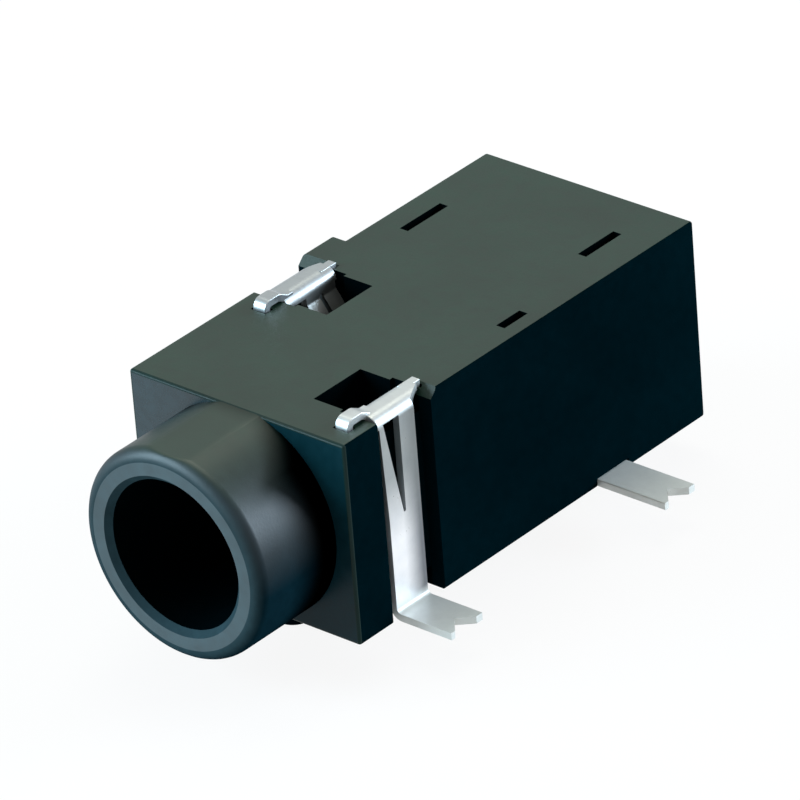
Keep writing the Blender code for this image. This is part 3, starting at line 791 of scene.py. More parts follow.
def turned(name: str, profile: Outline, place: Matrix, steps: int) -> bpy.types.Object:
    """Spins a profile about an axis.

    Args:
        name: The object's name.
        profile: Points as (radius, height), from the axis at one end to the axis at the other.
        place: Where the axis, drawn as Z, goes.
        steps: How many sides the round has.

    Returns:
        The turned solid.
    """
    shape = bmesh.new()
    verts = [shape.verts.new((radius, 0.0, height)) for radius, height in profile]
    edges = [shape.edges.new(pair) for pair in zip(verts, verts[1:])]
    bmesh.ops.spin(
        shape,
        geom=verts + edges,
        cent=(0.0, 0.0, 0.0),
        axis=(0.0, 0.0, 1.0),
        angle=math.tau,
        steps=steps,
        use_merge=True,
    )
    bmesh.ops.remove_doubles(shape, verts=shape.verts, dist=MERGE_DISTANCE)
    bmesh.ops.recalc_face_normals(shape, faces=shape.faces)
    mesh = bpy.data.meshes.new(name)
    shape.to_mesh(mesh)
    shape.free()
    mesh.transform(place)
    return add_object(name, mesh)


def rounded(
    thing: bpy.types.Object, width: float, steps: int, sharp: float = 40.0
) -> bpy.types.Object:
    """Rounds an object's square edges.

    Args:
        thing: The object to change.
        width: How wide the rounding is.
        steps: How many faces it has across.
        sharp: The least angle that is rounded, in degrees.

    Returns:
        The same object.
    """
    bevel = thing.modifiers.new("rounding", "BEVEL")
    bevel.width = width
    bevel.segments = steps
    bevel.limit_method = "ANGLE"
    bevel.angle_limit = math.radians(sharp)
    return thing


def carve(
    target: bpy.types.Object, shapes: list[bpy.types.Object], operation: str
) -> bpy.types.Object:
    """Joins shapes to a target, or cuts them out of it, in one step.

    Args:
        target: The object to change.
        shapes: The shapes, which are removed.
        operation: UNION or DIFFERENCE.

    Returns:
        The changed object.
    """
    group = bpy.data.collections.new("shapes")
    bpy.context.scene.collection.children.link(group)
    for shape in shapes:
        bpy.context.scene.collection.objects.unlink(shape)
        group.objects.link(shape)
    step = target.modifiers.new("carve", "BOOLEAN")
    step.operation = operation
    step.solver = "EXACT"
    step.operand_type = "COLLECTION"
    step.collection = group
    made = settle(target)
    for shape in shapes:
        bpy.data.objects.remove(shape, do_unlink=True)
    bpy.data.collections.remove(group)
    return made


@dataclass(frozen=True)
class Plan:
    """Sizes that several pieces share, in millimetres. The housing's ends come from the frame."""

    half_width: float
    top_z: float
    rear_y: float
    mouth_y: float
    peg_end_z: float
    block_length: float = 12.0
    bore_radius: float = 1.8
    sheet: float = 0.18
    bend: float = 0.20
    fit: float = 0.04
    foot_width: float = 1.05
    notch_width: float = 0.72
    notch_depth: float = 0.36
    notch_shift: float = 0.08
    slot_start: float = 1.12
    slot_length: float = 1.76
    slot_depth: float = 0.36
    left_shift: float = 3.0
    leg_set_back: float = 0.03
    bridge_proud: float = 0.10
    tongue_inset: float = 0.52
    tongue_width: float = 0.36
    tongue_length: float = 0.58
    tongue_rise: float = 0.14
    tongue_end_drop: float = 0.36
    heel_length: float = 0.14
    heel_width: float = 0.22
    plate_inset: float = 0.53
    plate_start: float = 5.95
    rear_foot_start: float = 8.2
    rear_foot_reach: float = 4.9
    rail_height: float = 1.2
    tab_drop: float = 0.5
    tab_length: float = 0.70
    beam_end: float = 10.6
    stirrup_inset: float = 0.8
    stirrup_plate_length: float = 1.3
    blade_gap: float = 0.03
    blade_start: float = 9.65
    blade_length: float = 0.95
    overrun: float = 0.4

    @classmethod
    def from_frame(cls) -> "Plan":
        """Reads the housing's ends from the frame.

        Returns:
            The plan.
        """
        low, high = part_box("housing")
        return cls(
            half_width=high[0] / MM,
            top_z=high[2] / MM,
            rear_y=high[1] / MM,
            mouth_y=low[1] / MM,
            peg_end_z=low[2] / MM,
        )

    def at(self, distance: float) -> float:
        """The place along Y that is so far behind the block's front face."""
        return self.rear_y - self.block_length + distance

    @property
    def half_sheet(self) -> float:
        """Half the sheet's thickness."""
        return self.sheet / 2.0

    @property
    def bore_z(self) -> float:
        """The height of the bore's axis."""
        return self.top_z / 2.0

    @property
    def slot_end(self) -> float:
        """The right slot's rear wall, behind the block's front face."""
        return self.slot_start + self.slot_length

    @property
    def bridge_z(self) -> float:
        """The middle of a bridge's sheet."""
        return self.top_z + self.bridge_proud - self.half_sheet

    @property
    def tongue_x(self) -> float:
        """The middle of a tongue."""
        return self.half_width - self.tongue_inset

    @property
    def plate_x(self) -> float:
        """The middle of the tip contact's plate."""
        return self.half_width - self.plate_inset

    @property
    def stirrup_x(self) -> float:
        """How far the middle of the switch contact's plate is from the socket's middle."""
        return self.half_width - self.stirrup_inset

    @property
    def blade_x(self) -> float:
        """The middle of the switch contact's blade."""
        return self.bore_radius + self.blade_gap + self.half_sheet

    @property
    def tab_z(self) -> float:
        """The top of the rear contacts' tabs."""
        return self.top_z - self.tab_drop

    def bore_line(self) -> Matrix:
        """Lays a turned shape along the bore, with its top towards the mouth."""
        turn = Matrix.Rotation(math.pi / 2.0, 4, "X")
        return Matrix.Translation((0.0, self.at(0.0), self.bore_z)) @ turn

    def to_left(self, thing: bpy.types.Object) -> bpy.types.Object:
        """Mirrors a shape from the right slot's place to the left slot's.

        Args:
            thing: The shape to move.

        Returns:
            The same shape.
        """
        shift = Matrix.Translation((0.0, self.left_shift, 0.0))
        thing.data.transform(shift @ Matrix.Scale(-1.0, 4, (1.0, 0.0, 0.0)))
        thing.data.flip_normals()
        return thing


class StripTree:
    """A Geometry Nodes tree that folds a strip of sheet along a drawn path.

    The path is a line with a bend radius at each corner, kept as the radius of its points.
    """

    edge_steps: int = 3

    def __init__(self) -> None:
        """Builds the tree with its named inputs."""
        self.group = bpy.data.node_groups.new("folded_strip", "GeometryNodeTree")
        face = self.group.interface
        face.new_socket("Geometry", in_out="INPUT", socket_type="NodeSocketGeometry")
        self.inputs = {}
        for name, kind in (
            ("Width", "NodeSocketFloat"),
            ("Thickness", "NodeSocketFloat"),
            ("Edge round", "NodeSocketFloat"),
            ("Bend steps", "NodeSocketInt"),
            ("Finish", "NodeSocketMaterial"),
        ):
            socket = face.new_socket(name, in_out="INPUT", socket_type=kind)
            self.inputs[name] = socket.identifier
        face.new_socket("Geometry", in_out="OUTPUT", socket_type="NodeSocketGeometry")
        entry = self.group.nodes.new("NodeGroupInput")
        leave = self.group.nodes.new("NodeGroupOutput")

        bends = self.node("FilletCurve", mode="POLY")
        bends.inputs["Limit Radius"].default_value = False
        self.link(entry.outputs["Geometry"], bends.inputs["Curve"])
        self.link(entry.outputs["Bend steps"], bends.inputs["Count"])
        self.link(self.node("InputRadius").outputs["Radius"], bends.inputs["Radius"])
        even = self.node("SetCurveRadius")
        even.inputs["Radius"].default_value = 1.0
        self.link(bends.outputs["Curve"], even.inputs["Curve"])
        upright = self.node("SetCurveNormal", mode="Z_UP")
        self.link(even.outputs["Curve"], upright.inputs["Curve"])

        section = self.node("CurvePrimitiveQuadrilateral", mode="RECTANGLE")
        self.link(entry.outputs["Thickness"], section.inputs["Width"])
        self.link(entry.outputs["Width"], section.inputs["Height"])
        corners = self.node("FilletCurve", mode="POLY")
        corners.inputs["Count"].default_value = self.edge_steps
        self.link(section.outputs["Curve"], corners.inputs["Curve"])
        self.link(entry.outputs["Edge round"], corners.inputs["Radius"])

        sweep = self.node("CurveToMesh")
        sweep.inputs["Fill Caps"].default_value = True
        self.link(upright.outputs["Curve"], sweep.inputs["Curve"])
        self.link(corners.outputs["Curve"], sweep.inputs["Profile Curve"])
        whole = self.node("RealizeInstances")
        self.link(sweep.outputs["Mesh"], whole.inputs["Geometry"])
        dressed = self.node("SetMaterial")
        self.link(whole.outputs["Geometry"], dressed.inputs["Geometry"])
        self.link(entry.outputs["Finish"], dressed.inputs["Material"])
        self.link(dressed.outputs["Geometry"], leave.inputs["Geometry"])

    def node(self, kind: str, **values: object) -> bpy.types.Node:
        """Adds a node to the tree.

        Args:
            kind: The node's type, without its GeometryNode prefix.
            **values: Properties of the node, set by name.

        Returns:
            The new node.
        """
        made = self.group.nodes.new("GeometryNode" + kind)
        for name, value in values.items():
            setattr(made, name, value)
        return made

    def link(self, source: bpy.types.NodeSocket, target: bpy.types.NodeSocket) -> None:
        """Joins two sockets."""
        self.group.links.new(source, target)


@dataclass
class SheetShop:
    """Folds strips of the contact sheet and finishes the stamped pieces."""

    plan: Plan
    tree: StripTree
    edge_round: float = 0.022
    bend_steps: int = 9
    smooth_angle: float = 38.0

    def fold(
        self,
        name: str,
        corners: list[Spot],
        square: Square,
        low: float,
        high: float,
        finish: bpy.types.Material,
    ) -> bpy.types.Object:
        """Folds a strip along a path.

        Args:
            name: The object's name.
            corners: The path of the sheet's middle. Each corner is two places and a bend radius.
            square: The axis that the path is square to.
            low: Where the strip starts along that axis.
            high: Where it ends.
            finish: The sheet's material.

        Returns:
            The folded strip.
        """
        curve = bpy.data.curves.new(name, "CURVE")
        curve.dimensions = "3D"
        line = curve.splines.new("POLY")
        line.points.add(len(corners) - 1)
        for point, (a, b, bend) in zip(line.points, corners):
            point.co = (a, b, 0.0, 1.0)
            point.radius = bend
        host = add_object(name, curve)
        step = host.modifiers.new("fold", "NODES")
        step.node_group = self.tree.group
        for title, value in (
            ("Width", high - low),
            ("Thickness", self.plan.sheet),
            ("Edge round", self.edge_round),
            ("Bend steps", self.bend_steps),
            ("Finish", finish),
        ):
            step[self.tree.inputs[title]] = value
        strip = settle(host)
        bpy.data.curves.remove(curve)
        mend = bmesh.new()
        mend.from_mesh(strip.data)
        bmesh.ops.remove_doubles(mend, verts=mend.verts, dist=MERGE_DISTANCE)
        bmesh.ops.recalc_face_normals(mend, faces=mend.faces)
        mend.to_mesh(strip.data)
        mend.free()
        strip.data.transform(square.stand((low + high) / 2.0))
        return strip

    def foot_notch(self, low_y: float, reach: float, side: Side) -> bpy.types.Object:
        """Makes the cutter for the V in a foot's tip.

        Args:
            low_y: Where the foot starts, behind the block's front face.
            reach: How far the foot's tip is from the socket's middle.
            side: The side that the foot is on.

        Returns:
            The cutter.
        """
        plan = self.plan
        middle = plan.at(low_y + plan.foot_width / 2.0)
        mouth = middle - plan.notch_shift
        slope = plan.notch_width / 2.0 / plan.notch_depth
        widen = plan.notch_width / 2.0 + plan.overrun * slope
        tip = reach + plan.overrun
        outline = [
            (side.value * tip, mouth - widen),
            (side.value * tip, mouth + widen),
            (side.value * (reach - plan.notch_depth), middle),
        ]
        return prism("foot_notch", outline, Square.Z, -plan.overrun, plan.sheet + plan.overrun)

    def rear_foot(
        self, side: Side, plate_x: float, finish: bpy.types.Material
    ) -> bpy.types.Object:
        """Makes a rear contact's foot, bent up into its upright plate.

        Args:
            side: The side that the foot is on.
            plate_x: How far the middle of the plate's sheet is from the socket's middle.
            finish: The sheet's material.

        Returns:
            The foot.
        """
        plan = self.plan
        corners = [
            (side.value * plan.rear_foot_reach, plan.half_sheet, 0.0),
            (side.value * plate_x, plan.half_sheet, plan.bend),
            (side.value * plate_x, plan.rail_height, 0.0),
        ]
        low = plan.at(plan.rear_foot_start)
        return self.fold("rear_foot", corners, Square.Y, low, low + plan.foot_width, finish)

    def complete(
        self, solid: bpy.types.Object, node: str, finish: bpy.types.Material
    ) -> bpy.types.Object:
        """Shades a stamped contact, gives it its finish and hands it over.

        Args:
            solid: The contact, in millimetres.
            node: The CAD node that it stands for.
            finish: The sheet's material.

        Returns:
            The finished piece.
        """
        solid.data.materials.clear()
        solid.data.materials.append(finish)
        for face in solid.data.polygons:
            face.material_index = 0
        shade(solid.data, self.smooth_angle)
        return hand_over(solid, node)


def shade(mesh: bpy.types.Mesh, angle: float) -> None:
    """Shades a mesh smooth, apart from its sharp edges."""
    mesh.shade_smooth()
    mesh.set_sharp_from_angle(angle=math.radians(angle))


def hand_over(thing: bpy.types.Object, node: str) -> bpy.types.Object:
    """Puts a finished piece into the frame in place of its CAD node.

    Args:
        thing: The piece, in millimetres.
        node: The CAD node that it stands for.

    Returns:
        The piece, in metres.
    """
    weigh = thing.modifiers.new("even_shading", "WEIGHTED_NORMAL")
    weigh.keep_sharp = True
    piece = settle(thing)
    piece.name = f"{node}_fine"
    piece.data.transform(Matrix.Scale(MM, 4))
    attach(piece, "root")
    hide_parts(node)
    LOG.info("%s: %d faces", piece.name, len(piece.data.polygons))
    return piece


@dataclass
class Housing:
    """The moulding: block, barrel with its bore, pegs, slots, pockets, cavities and slits.

    The last fields say how the lit and shaded copies of the plastic are told apart: how squarely a
    face points forward or up, and how close to an outer face it may be.
    """

    plan: Plan
    cheek_proud: float = 0.18
    lug_proud: float = 0.38
    lug_length: float = 1.2
    edge_round: float = 0.07
    barrel_radius: float = 2.55
    flat_drop: float = 0.01
    rim_round: float = 0.30
    lead_in: float = 0.14
    rear_wall: float = 0.4
    end_chamfer: float = 0.5
    peg_radius: float = 0.6
    peg_chamfer: float = 0.15
    first_peg: float = 1.2
    peg_pitch: float = 7.0
    peg_count: int = 2
    pocket_inner_x: float = 1.1
    saddle_wall: float = 0.30
    pocket_end_wall: float = 0.1
    pocket_floor: float = 0.9
    saddle_drop: float = 0.6
    relief_depth: float = 0.8
    relief_height: float = 0.5
    slot_chamfer: float = 0.22
    break_in: float = 0.18
    cavity_roof: float = 0.7
    cavity_floor: float = 0.5
    cavity_gap: float = 0.1
    slit_width: float = 0.24
    slit_gap: float = 0.05
    blade_slit_lead: float = 0.25
    round_steps: int = 160
    rim_steps: int = 8
    edge_steps: int = 4
    edge_break: float = 0.02
    smooth_angle: float = 35.0
    square_front: float = 0.995
    flat_front: float = 0.95
    any_front: float = 0.1
    flat_top: float = 0.85
    chamfer_rise: Span = (0.4, 0.8)
    chamfer_front: float = 0.4
    top_margin: float = 0.01
    rear_margin: float = 0.1

    def block(self) -> bpy.types.Object:
        """Makes the outer block, open where the left slot is cut later.

        Returns:
            The block.
        """
        plan = self.plan
        cheek = -plan.half_width - self.cheek_proud
        lug = -plan.half_width - self.lug_proud
        gap = -plan.half_width + plan.slot_depth / 2.0
        gap_front = plan.at(plan.slot_start + plan.left_shift + plan.slot_length / 4.0)
        gap_rear = plan.at(plan.slot_end + plan.left_shift - plan.slot_length / 4.0)
        lug_end = plan.at(plan.slot_end + plan.left_shift + self.lug_length)
        outline = [
            (cheek, plan.at(0.0)),
            (plan.half_width, plan.at(0.0)),
            (plan.half_width, plan.rear_y),
            (-plan.half_width, plan.rear_y),
            (-plan.half_width, lug_end),
            (lug, lug_end),
            (lug, gap_rear),
            (gap, gap_rear),
            (gap, gap_front),
            (cheek, gap_front),
        ]
        solid = prism("housing", outline, Square.Z, 0.0, plan.top_z)
        return rounded(solid, self.edge_round, self.edge_steps)

    def barrel(self) -> bpy.types.Object:
        """Makes the barrel, with its rim rounded and a flat above and below.

        Returns:
            The barrel.
        """
        plan = self.plan
        length = plan.at(0.0) - plan.mouth_y
        rim = (self.barrel_radius - self.rim_round, length - self.rim_round)
        profile = [(0.0, length)]
        profile += arc(rim, self.rim_round, 90.0, 0.0, self.rim_steps)
        profile += [(self.barrel_radius, -2.0 * plan.overrun), (0.0, -2.0 * plan.overrun)]
        solid = turned("barrel", profile, plan.bore_line(), self.round_steps)
        for vert in solid.data.vertices:
            vert.co.z = max(self.flat_drop, min(plan.top_z - self.flat_drop, vert.co.z))
        return solid

    def bore(self) -> bpy.types.Object:
        """Makes the cutter for the bore, with its lead-in and the chamfer at its blind end.

        Returns:
            The cutter.
        """
        plan = self.plan
        length = plan.at(0.0) - plan.mouth_y
        end = self.rear_wall - plan.block_length
        profile = [
            (0.0, length + plan.overrun),
            (plan.bore_radius + self.lead_in + plan.overrun, length + plan.overrun),
            (plan.bore_radius, length - self.lead_in),
            (plan.bore_radius, end + self.end_chamfer),
            (plan.bore_radius - self.end_chamfer, end),
            (0.0, end),
        ]
        return turned("bore", profile, plan.bore_line(), self.round_steps)

    def peg(self, number: int) -> bpy.types.Object:
        """Makes a locating peg with a chamfered end.

        Args:
            number: Which peg it is, counted from the front.

        Returns:
            The peg.
        """
        plan = self.plan
        spot = (0.0, plan.at(self.first_peg + number * self.peg_pitch), 0.0)
        down = Matrix.Translation(spot) @ Matrix.Rotation(math.pi, 4, "X")
        length = -plan.peg_end_z
        profile = [
            (0.0, length),
            (self.peg_radius - self.peg_chamfer, length),
            (self.peg_radius, length - self.peg_chamfer),
            (self.peg_radius, -plan.overrun),
            (0.0, -plan.overrun),
        ]
        return turned("peg", profile, down, self.round_steps // 2)

    def front_cuts(self) -> Iterator[bpy.types.Object]:
        """Makes the cutters for one front contact, in the right side's place.

        Yields:
            The slot, relief, pocket, saddle, seats and chamfer.
        """
        plan = self.plan
        out = plan.half_width + self.lug_proud + plan.overrun
        top = plan.top_z + plan.overrun
        under = -plan.overrun
        start = plan.at(plan.slot_start)
        end = plan.at(plan.slot_end)
        slot_x = plan.half_width - plan.slot_depth
        saddle_x = slot_x - self.saddle_wall
        deep = plan.half_width - self.relief_depth
        yield box("slot", (slot_x, start, under), (out, end, top))
        yield box("relief", (deep, start, under), (out, end, self.relief_height))
        yield box(
            "pocket",
            (self.pocket_inner_x, start + self.pocket_end_wall, self.pocket_floor),
            (saddle_x, end - self.pocket_end_wall, top),
        )
        yield box(
            "saddle",
            (saddle_x - plan.overrun, start, plan.top_z - self.saddle_drop),
            (out, end, top),
        )
        half_heel = plan.heel_width / 2.0 + plan.fit
        heel_z = plan.bridge_z - plan.half_sheet - plan.fit
        yield box(
            "heel_seat",
            (plan.tongue_x - half_heel, end - plan.overrun, heel_z),
            (plan.tongue_x + half_heel, end + plan.heel_length + plan.fit, top),
        )
        half_tongue = plan.tongue_width / 2.0 + plan.fit
        tongue_end = start - plan.tongue_length
        hook_z = plan.bridge_z + plan.tongue_rise - plan.tongue_end_drop
        yield box(
            "tongue_seat",
            (plan.tongue_x - half_tongue, tongue_end - plan.fit, hook_z - plan.fit),
            (plan.tongue_x + half_tongue, tongue_end + plan.sheet + plan.fit, top),
        )
        slope = self.slot_chamfer
        chamfer = [
            (end - slope, plan.top_z + slope),
            (end - slope, plan.top_z - slope),
            (end, plan.top_z - slope),
            (end + 2.0 * slope, plan.top_z + slope),
        ]
        yield prism("slot_chamfer", chamfer, Square.X, saddle_x, out)

    def tip_cuts(self) -> Iterator[bpy.types.Object]:
        """Makes the cutters for the tip contact.

        Yields:
            Its cavity, entry, foot's exit and slit.
        """
        plan = self.plan
        out = plan.half_width + self.lug_proud + plan.overrun
        top = plan.top_z + plan.overrun
        roof = plan.top_z - self.cavity_roof
        outer = plan.plate_x + plan.half_sheet + plan.fit
        start = plan.at(plan.plate_start)
        foot = plan.at(plan.rear_foot_start)
        foot_end = foot + plan.foot_width
        half_fit = plan.half_sheet + plan.fit
        half_slit = self.slit_width / 2.0
        yield box(
            "tip_cavity",
            (plan.bore_radius - self.break_in, start - self.cavity_gap, self.cavity_floor),
            (outer, plan.at(plan.beam_end) + self.cavity_gap, roof),
        )
        yield box(
            "tip_entry",
            (plan.plate_x - half_fit, start - plan.fit, -plan.overrun),
            (outer, foot_end + plan.fit, self.cavity_floor + plan.fit),
        )
        yield box(
            "tip_foot_exit",
            (plan.plate_x, foot - plan.fit, -plan.overrun),
            (out, foot_end + plan.fit, plan.sheet + plan.fit),
        )
        yield box(
            "tip_slit",
            (plan.plate_x - half_slit, start - self.slit_gap, roof - plan.overrun),
            (plan.plate_x + half_slit, start + plan.tab_length + self.slit_gap, top),
        )

    def switch_cuts(self) -> Iterator[bpy.types.Object]:
        """Makes the cutters for the switch contact.

        Yields:
            Its entries, slits, channel and foot's exit.
        """
        plan = self.plan
        out = plan.half_width + self.lug_proud + plan.overrun
        top = plan.top_z + plan.overrun
        roof = plan.top_z - self.cavity_roof
        under = -plan.overrun
        foot_top = plan.sheet + plan.fit
        half_fit = plan.half_sheet + plan.fit
        half_slit = self.slit_width / 2.0
        blade = plan.at(plan.blade_start)
        blade_end = blade + plan.blade_length
        foot = plan.at(plan.rear_foot_start)
        plate_end = foot + plan.stirrup_plate_length
        left = -plan.stirrup_x
        yield box(
            "blade_entry",
            (plan.blade_x - half_fit, blade - plan.fit, under),
            (plan.blade_x + half_fit, blade_end + plan.fit, roof),
        )
        yield box(
            "blade_slit",
            (plan.blade_x - half_slit, blade - self.blade_slit_lead, roof - plan.overrun),
            (plan.blade_x + half_slit, blade_end + self.slit_gap, top),
        )
        yield box(
            "switch_slit",
            (left - half_slit, foot - self.slit_gap, under),
            (left + half_slit, plate_end + self.slit_gap, top),
        )
        yield box(
            "switch_rail_entry",
            (left - half_fit, foot, under),
            (left + half_fit, blade_end + plan.fit, plan.rail_height + plan.fit),
        )
        yield box(
            "switch_channel",
            (left, blade - plan.fit, under),
            (plan.blade_x, blade_end + plan.fit, foot_top),
        )
        yield box(
            "switch_foot_exit",
            (-out, foot - plan.fit, under),
            (left, foot + plan.foot_width + plan.fit, foot_top),
        )

    def lit_copy_of(self, centre: Vector, normal: Vector) -> LitCopy:
        """Says which lit or shaded copy of the plastic a face takes.

        Args:
            centre: The face's middle, in millimetres.
            normal: The way that the face points.

        Returns:
            The lit or shaded copy.
        """
        plan = self.plan
        if centre.y < plan.at(0.0) - self.edge_break:
            return self.barrel_lit_copy(centre, normal)
        if centre.y < plan.at(self.edge_round):
            # The front face: strong painted reflection on its left half, almost none on its right
            # half.
            if normal.y < -self.square_front:
                return LitCopy.FRONT_LEFT if centre.x < 0.0 else LitCopy.FRONT_RIGHT
            # Its rounded edges take a weaker painted sheen.
            if normal.y < -self.any_front:
                return LitCopy.EDGE
        low, high = self.chamfer_rise
        chamfered = low < normal.z < high and normal.y < -self.chamfer_front
        near_top = centre.z > plan.top_z - self.slot_chamfer
        # Faces that point up take the copy with painted light from above.
        if near_top and (normal.z > self.flat_top or chamfered):
            return LitCopy.TOP
        inner_x = plan.half_width - plan.slot_depth - self.edge_break
        within_sides = abs(centre.x) < inner_x
        within_height = self.top_margin < centre.z < plan.top_z - self.top_margin
        # Faces inside slots, pockets and cavities take the nearly black copy: painted shade.
        if within_sides and within_height and centre.y < plan.rear_y - self.rear_margin:
            return LitCopy.INSIDE
        # All other faces take the dark copy with painted shade and no sheen.
        return LitCopy.SIDE

    def barrel_lit_copy(self, centre: Vector, normal: Vector) -> LitCopy:
        """Says which lit or shaded copy of the plastic a face ahead of the block takes.

        Args:
            centre: The face's middle, in millimetres.
            normal: The way that the face points.

        Returns:
            The lit or shaded copy.
        """
        plan = self.plan
        radius = math.hypot(centre.x, centre.z - plan.bore_z)
        at_mouth = centre.y < plan.mouth_y + self.lead_in
        # The mouth ring and its lead-in take paler copies: painted light from the front.
        if at_mouth and radius < self.barrel_radius - self.rim_round:
            return LitCopy.MOUTH if normal.y < -self.flat_front else LitCopy.LEAD_IN
        # The barrel takes its copy with painted light and shade; the bore's inside is painted
        # shade.
        return LitCopy.BARREL if radius > plan.bore_radius + self.edge_break else LitCopy.INSIDE

    def part_front(self, mesh: bpy.types.Mesh) -> None:
        """Parts the block's front face into its left and right halves, which take different
        painted reflection.

        Args:
            mesh: The housing's mesh, which is changed.
        """
        shape = bmesh.new()
        shape.from_mesh(mesh)
        ahead = self.plan.at(-self.edge_break)
        behind = self.plan.at(self.edge_round)
        front = [
            face
            for face in shape.faces
            if face.normal.y < -self.flat_front
            and ahead < face.calc_center_median().y < behind
        ]
        edges = dict.fromkeys(edge for face in front for edge in face.edges)
        verts = dict.fromkeys(vert for face in front for vert in face.verts)
        bmesh.ops.bisect_plane(
            shape,
            geom=[*verts, *edges, *front],
            plane_co=(0.0, 0.0, 0.0),
            plane_no=(1.0, 0.0, 0.0),
        )
        shape.to_mesh(mesh)
        shape.free()

    def dress(self, mesh: bpy.types.Mesh) -> None:
        """Gives each face the lit or shaded copy of the plastic, with its painted light, shade and
        reflection.

        Args:
            mesh: The housing's mesh, which is changed.
        """
        self.part_front(mesh)
        mesh.materials.clear()
        for lit_copy in LitCopy:
            mesh.materials.append(LIT_COPIES[lit_copy].build(f"moulding_{lit_copy.name.lower()}"))
        for face in mesh.polygons:
            face.material_index = self.lit_copy_of(face.center, face.normal).value

    def build(self) -> bpy.types.Object:
        """Makes the housing.

        Returns:
            The finished piece.
        """
        pegs = [self.peg(number) for number in range(self.peg_count)]
        solid = carve(self.block(), [self.barrel(), *pegs], "UNION")
        cuts = [self.bore(), *self.front_cuts(), *self.tip_cuts(), *self.switch_cuts()]
        cuts += [self.plan.to_left(cut) for cut in self.front_cuts()]
        solid = carve(solid, cuts, "DIFFERENCE")
        self.dress(solid.data)
        shade(solid.data, self.smooth_angle)
        return hand_over(solid, "housing")


